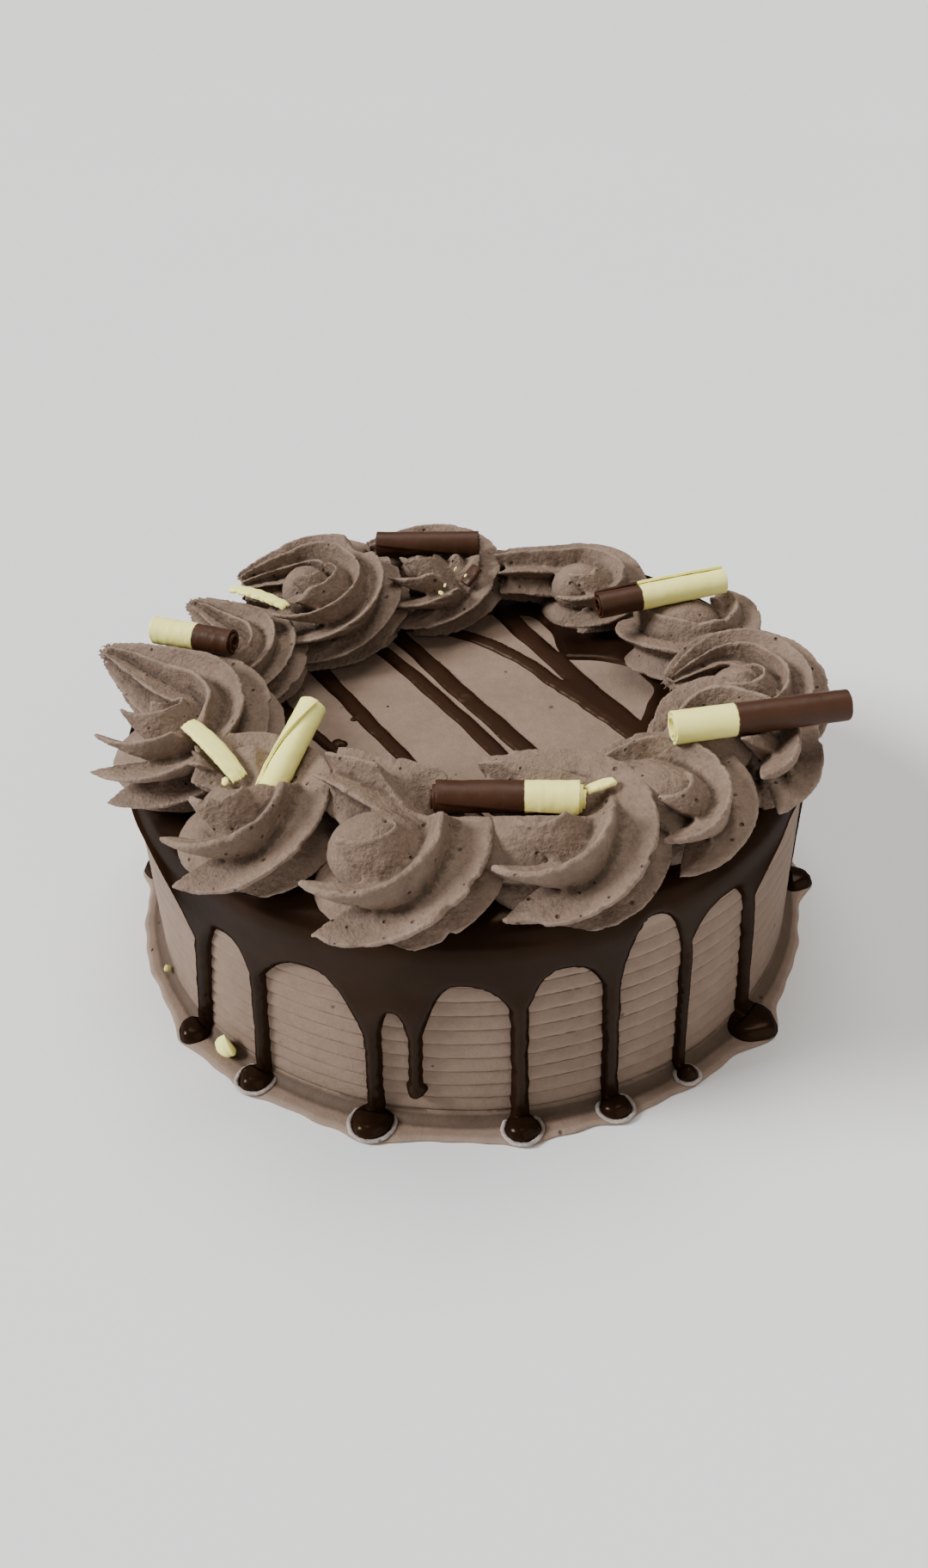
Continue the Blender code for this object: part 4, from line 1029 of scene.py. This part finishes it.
def rollTree():
    tree, given = newTree("chocolateRoll", (
        ("Length", "Float", 0.04), ("Radius", "Float", 0.004), ("Layer", "Float", 0.0011), ("Turns", "Float", 2.3),
        ("Askew", "Float", 0.3), ("Start", "Float", 0.0), ("Ragged", "Float", 0.0005), ("Stick Out", "Float", 0.0005),
        ("Seed", "Float", 0.0), ("Material", "Material", None)), False)
    grid = place(tree, "GeometryNodeMeshGrid", {"Size X": 1.0, "Size Y": 1.0, "Vertices X": 90, "Vertices Y": 150})
    _, x, y, _ = position(tree)
    share, wound = x + 0.5, y + 0.5
    full = given["Turns"] + (share - 0.5) * given["Askew"] * 0.5
    turn = wound * full
    angle = turn * (2 * math.pi) + given["Start"]
    at = shifted(tree, joined(tree, share * 3.0, turn * 1.3, 0.0), given["Seed"])
    dent = (noise(tree, at, 3.0, 2.0) - 0.5) * given["Ragged"] * 0.7
    radius = given["Radius"] - (full - turn) * given["Layer"] + dent
    tear = (noise(tree, at, 9.0, 3.0, 0.7) - 0.5) * given["Ragged"] * 2.4
    inner = (full - turn) * given["Stick Out"]
    long = (share - 0.5) * (given["Length"] + tear + inner)
    marked = place(tree, "GeometryNodeStoreNamedAttribute", {
        "Geometry": grid.outputs[0], "Name": "UVMap"}, data_type="FLOAT2", domain="CORNER")
    feed(tree, marked.inputs["Value"], joined(tree, share, turn, 0.0))
    rolled = moved(tree, marked.outputs[0], radius * angle.through("COSINE"), radius * angle.through("SINE"), long,
                   way="Position")
    endTree(tree, rolled, given["Material"])
    return tree


def makeCurls():
    tree = rollTree()
    for index, (node, row) in enumerate(curls.items()):
        first, last, across, split, slant, starts, askew, stick = row
        if split > 1:
            finish = brownChocolate if starts == "brown" else whiteChocolate
        else:
            sides = (brownSide, whiteSide) if starts == "brown" else (whiteSide, brownSide)
            finish = rolledMaterial(node + "Colours", split, slant, *sides)
        first, last = Vector(first) * mm, Vector(last) * mm
        piece = newPiece(node + "_roll")
        turn = (last - first).to_track_quat("Z", "Y").to_matrix().to_4x4()
        piece.matrix_world = Matrix.Translation((first + last) / 2) @ turn
        addNodes(piece, tree, {
            "Length": (last - first).length - 0.0008, "Radius": across / 2 * mm - 0.0001, "Askew": askew,
            "Start": 1.3 + index * 2.1, "Ragged": 0.0004 + 0.0003 * stick, "Stick Out": stick * mm,
            "Seed": index * 5.3, "Material": finish})
        sheet = piece.modifiers.new("sheet", "SOLIDIFY")
        sheet.thickness = 0.8 * mm
        sheet.offset = 0
        edge = piece.modifiers.new("edge", "BEVEL")
        edge.width = 0.15 * mm
        edge.segments = 2
        edge.limit_method = "ANGLE"
        edge.angle_limit = 50 * deg
        bpy.context.view_layer.update()
        plainMesh(piece)
        piece.data.set_sharp_from_angle(angle=50 * deg)
        standFor(piece, node)
        print(piece.name, len(piece.data.polygons))


makeCurls()


# Flat shards

def makeShards():
    for index, (node, row) in enumerate(shards.items()):
        first, last, wide, thick, bow, ragged, finish = row
        first, last = Vector(first) * mm, Vector(last) * mm
        along = (last - first).normalized()
        across = along.cross(Vector((0, 0, 1))).normalized()
        up = across.cross(along).normalized()
        rows, columns = 46, 16
        calm = min((last - first).length / (20 * mm), 1)
        verts, faces = [], []
        for level in (1, -1):
            for k in range(rows):
                share = k / (rows - 1)
                cut = ragged * (math.sin(share * 23 + index) + 0.6 * math.sin(share * 51 + 2 * index)) / 3
                half = wide * mm / 2 * (1 - 0.18 * (2 * share - 1) ** 2)
                for j in range(columns):
                    side = 2 * j / (columns - 1) - 1
                    end = 0.07 * math.sin(side * 2.3 + index) + ragged * 0.18 * math.sin(side * 9 + index)
                    spot = first.lerp(last, share * (1 - abs(end) * 0.6) + max(end, 0) * 0.3)
                    edge = min((1 - abs(side)) * 4, share * 14, (1 - share) * 14, 1)
                    deep = thick * mm / 2 * (0.35 + 0.65 * math.sin(edge * math.pi / 2))
                    curve = bow * mm * (1 - (2 * share - 1) ** 2) - 0.35 * mm * side * side
                    curve += 0.12 * mm * calm * math.sin(share * 31 * calm + side * 3 + index)
                    reach = side * half * (1 - abs(cut) * (side > 0))
                    verts.append(spot + across * reach + up * (curve + level * deep))
        for level in (0, 1):
            start = level * rows * columns
            for k in range(rows - 1):
                for j in range(columns - 1):
                    a = start + k * columns + j
                    faces.append((a, a + 1, a + columns + 1, a + columns))
        rim = [*range(columns)] + [k * columns + columns - 1 for k in range(1, rows)]
        rim += [(rows - 1) * columns + j for j in range(columns - 2, -1, -1)]
        rim += [k * columns for k in range(rows - 2, 0, -1)]
        other = rows * columns
        for a, b in zip(rim, rim[1:] + rim[:1]):
            faces.append((a, b, b + other, a + other))
        chocolate = whiteChocolate if finish == "white" else brownChocolate
        piece = solidPiece(node + "_flake", verts, faces, chocolate)
        piece.data.set_sharp_from_angle(angle=45 * deg)
        standFor(piece, node)
        print(piece.name, len(piece.data.polygons))


makeShards()


# White chip at the foot of the wall
chip = {"heading": -134.3, "reach": 103.4 * mm, "halfWidth": 4.2 * mm, "halfDepth": 2.2 * mm, "height": 9 * mm}


def makeChip():
    rows, sides = 34, 36
    turn = Matrix.Rotation(chip["heading"] * deg, 4, "Z")
    foot = cake["skirtHeight"] + 0.1 * mm
    outline = ((0.0, 0.0), (0.1, 0.6), (0.3, 1.0), (0.55, 0.78), (0.8, 0.36), (1.0, 0.0))
    levels = np.linspace(0, 1, rows)
    widths = np.interp(levels, [a for a, _ in outline], [b for _, b in outline])
    widths = np.convolve(np.pad(widths, 2, "edge"), np.ones(5) / 5, "valid")
    widths[0] = widths[-1] = 0.02
    verts, faces = [], []
    for level, width in zip(levels, widths):
        for k in range(sides):
            spin = 2 * math.pi * k / sides
            facet = 1 + 0.07 * math.sin(3 * spin + level * 4) + 0.03 * math.sin(7 * spin + level * 9)
            x = chip["reach"] + chip["halfDepth"] * width * facet * math.cos(spin)
            y = chip["halfWidth"] * width * facet * math.sin(spin) + 0.9 * mm * level * level
            verts.append(turn @ Vector((x, y, foot + level * chip["height"])))
    for row in range(rows - 1):
        for k in range(sides):
            a, b = row * sides + k, row * sides + (k + 1) % sides
            faces.append((a, b, b + sides, a + sides))
    faces += [tuple(range(sides)), tuple(range((rows - 1) * sides, rows * sides))]
    piece = solidPiece("footChip", verts, faces, whiteChocolate)
    standFor(piece, "chip_white")
    print("chip", len(piece.data.polygons))


makeChip()


# Crumbs of chocolate: x, y, z in mm, size in mm
crumbs = {
    "whiteCrumbs": (whiteChocolate, "white_chocolate", (
        (-93.8, -40.3, 3.2, 3.0), (-62, -63.4, 90.5, 2.6), (-2.1, 43.7, 91, 1.6), (-6.8, 34, 88, 1.8),
        (-5.5, 37, 89, 1.4), (1, 41, 90, 1.2))),
    "brownCrumbs": (brownChocolate, "dark_chocolate", (
        (-31, 57.5, 91, 2.6), (52, -48, 76, 1.8), (55, -46, 76, 1.4), (58, -47.5, 75.5, 1.6), (49.5, -43, 75, 1.2),
        (-98.2, -37, 8, 1.0), (63, -46, 77, 1.2))),
}


def crumbTree():
    tree, given = newTree("looseCrumbs", (("Flatness", "Float", 0.45), ("Seed", "Int", 3),
                                         ("Material", "Material", None)))
    bit = place(tree, "GeometryNodeMeshIcoSphere", {"Radius": 0.5, "Subdivisions": 3})
    here, x, y, z = position(tree)
    chunk = (noise(tree, here, 2.4, 3.0, 0.7) - 0.5) * 1.1
    rough = moved(tree, bit.outputs[0], x * chunk, y * chunk, z * chunk)
    flat = place(tree, "GeometryNodeTransform", {
        "Geometry": rough, "Scale": joined(tree, 1.0, 0.7, given["Flatness"])})
    turn = place(tree, "FunctionNodeRandomValue", data_type="FLOAT_VECTOR")
    vectorMax = [s for s in turn.inputs if s.type == "VECTOR"][1]
    vectorMax.default_value = (1.2, 1.2, 6.28)
    feed(tree, [s for s in turn.inputs if s.name == "Seed"][0], given["Seed"])
    size = place(tree, "GeometryNodeInputNamedAttribute", {"Name": "size"}, data_type="FLOAT")
    spread = place(tree, "GeometryNodeInstanceOnPoints", {
        "Points": given["Geometry"], "Instance": flat.outputs[0], "Rotation": turn.outputs[0],
        "Scale": size.outputs[0]})
    endTree(tree, spread.outputs[0], given["Material"])
    return tree


def makeCrumbs():
    tree = crumbTree()
    for name, (finish, slot, rows) in crumbs.items():
        mesh = bpy.data.meshes.new(name)
        mesh.from_pydata([(x * mm, y * mm, z * mm) for x, y, z, _ in rows], [], [])
        size = mesh.attributes.new("size", "FLOAT", "POINT")
        size.data.foreach_set("value", [row[3] * mm for row in rows])
        piece = newPiece(name, mesh)
        addNodes(piece, tree, {"Material": finish})
        plainMesh(piece)
        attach(piece, "root")
        print(name, len(piece.data.polygons))


makeCrumbs()


# Floor, lights and camera

def makeStage():
    finish, tree, surface = startMaterial("paleFloor")
    cloud = noise(tree, place(tree, "ShaderNodeTexCoord").outputs["Object"], 3.0, 2.0)
    feed(tree, surface.inputs["Base Color"], blendColours(
        tree, cloud, (0.80, 0.80, 0.80, 1), (0.84, 0.84, 0.835, 1)))
    surface.inputs["Roughness"].default_value = 0.75
    mesh = bpy.data.meshes.new("floor")
    mesh.from_pydata([(-9, -9, 0), (9, -9, 0), (9, 9, 0), (-9, 9, 0)], [], [(0, 1, 2, 3)])
    floor = newPiece("floor", mesh)
    mesh.materials.append(finish)
    world = bpy.data.worlds.new("studio")
    bpy.context.scene.world = world
    world.use_nodes = True
    sky = world.node_tree.nodes["Background"]
    sky.inputs["Color"].default_value = (1.0, 0.97, 0.94, 1)
    sky.inputs["Strength"].default_value = 0.2
    # name, where it shines from, how soft, power, colour
    lamps = (("windowSoft", (-0.80, -0.10, 0.58), 20, 4.6, (0.97, 0.98, 1.0)),
             ("topSoft", (0.05, 0.25, 0.95), 40, 2.1, (1.0, 0.97, 0.93)),
             ("fillSoft", (0.65, -0.70, 0.42), 60, 0.8, (1.0, 0.95, 0.88)))
    for name, spot, soft, power, colour in lamps:
        light = bpy.data.lights.new(name, "SUN")
        light.angle = soft * deg
        light.energy = power
        light.color = colour
        lamp = newPiece(name, light)
        lamp.location = spot
        lamp.rotation_euler = (-Vector(spot)).to_track_quat("-Z", "Y").to_euler()


def makeCamera():
    # Measured from the photo: angles in radians, place in m, lens and picture height in pixels
    view = {"tilt": 0.64812824, "roll": -0.03379762, "spot": (-0.00166522, -0.341998062, 0.298148478),
            "lens": 1600, "pictureHeight": 1824}
    shot = bpy.data.cameras.new("photoView")
    shot.sensor_fit = "VERTICAL"
    shot.sensor_height = 36
    shot.lens = view["lens"] * shot.sensor_height / view["pictureHeight"]
    shot.clip_start = 0.01
    camera = newPiece("photoView", shot)
    back = Vector((0, -math.cos(view["tilt"]), math.sin(view["tilt"])))
    right, up = Vector((1, 0, 0)), Vector((0, math.sin(view["tilt"]), math.cos(view["tilt"])))
    c, s = math.cos(view["roll"]), math.sin(view["roll"])
    aim = Matrix((c * right + s * up, -s * right + c * up, back)).transposed().to_4x4()
    aim.translation = Vector(view["spot"])
    camera.matrix_world = aim
    bpy.context.scene.camera = camera


makeStage()
makeCamera()
print("stage and camera set")
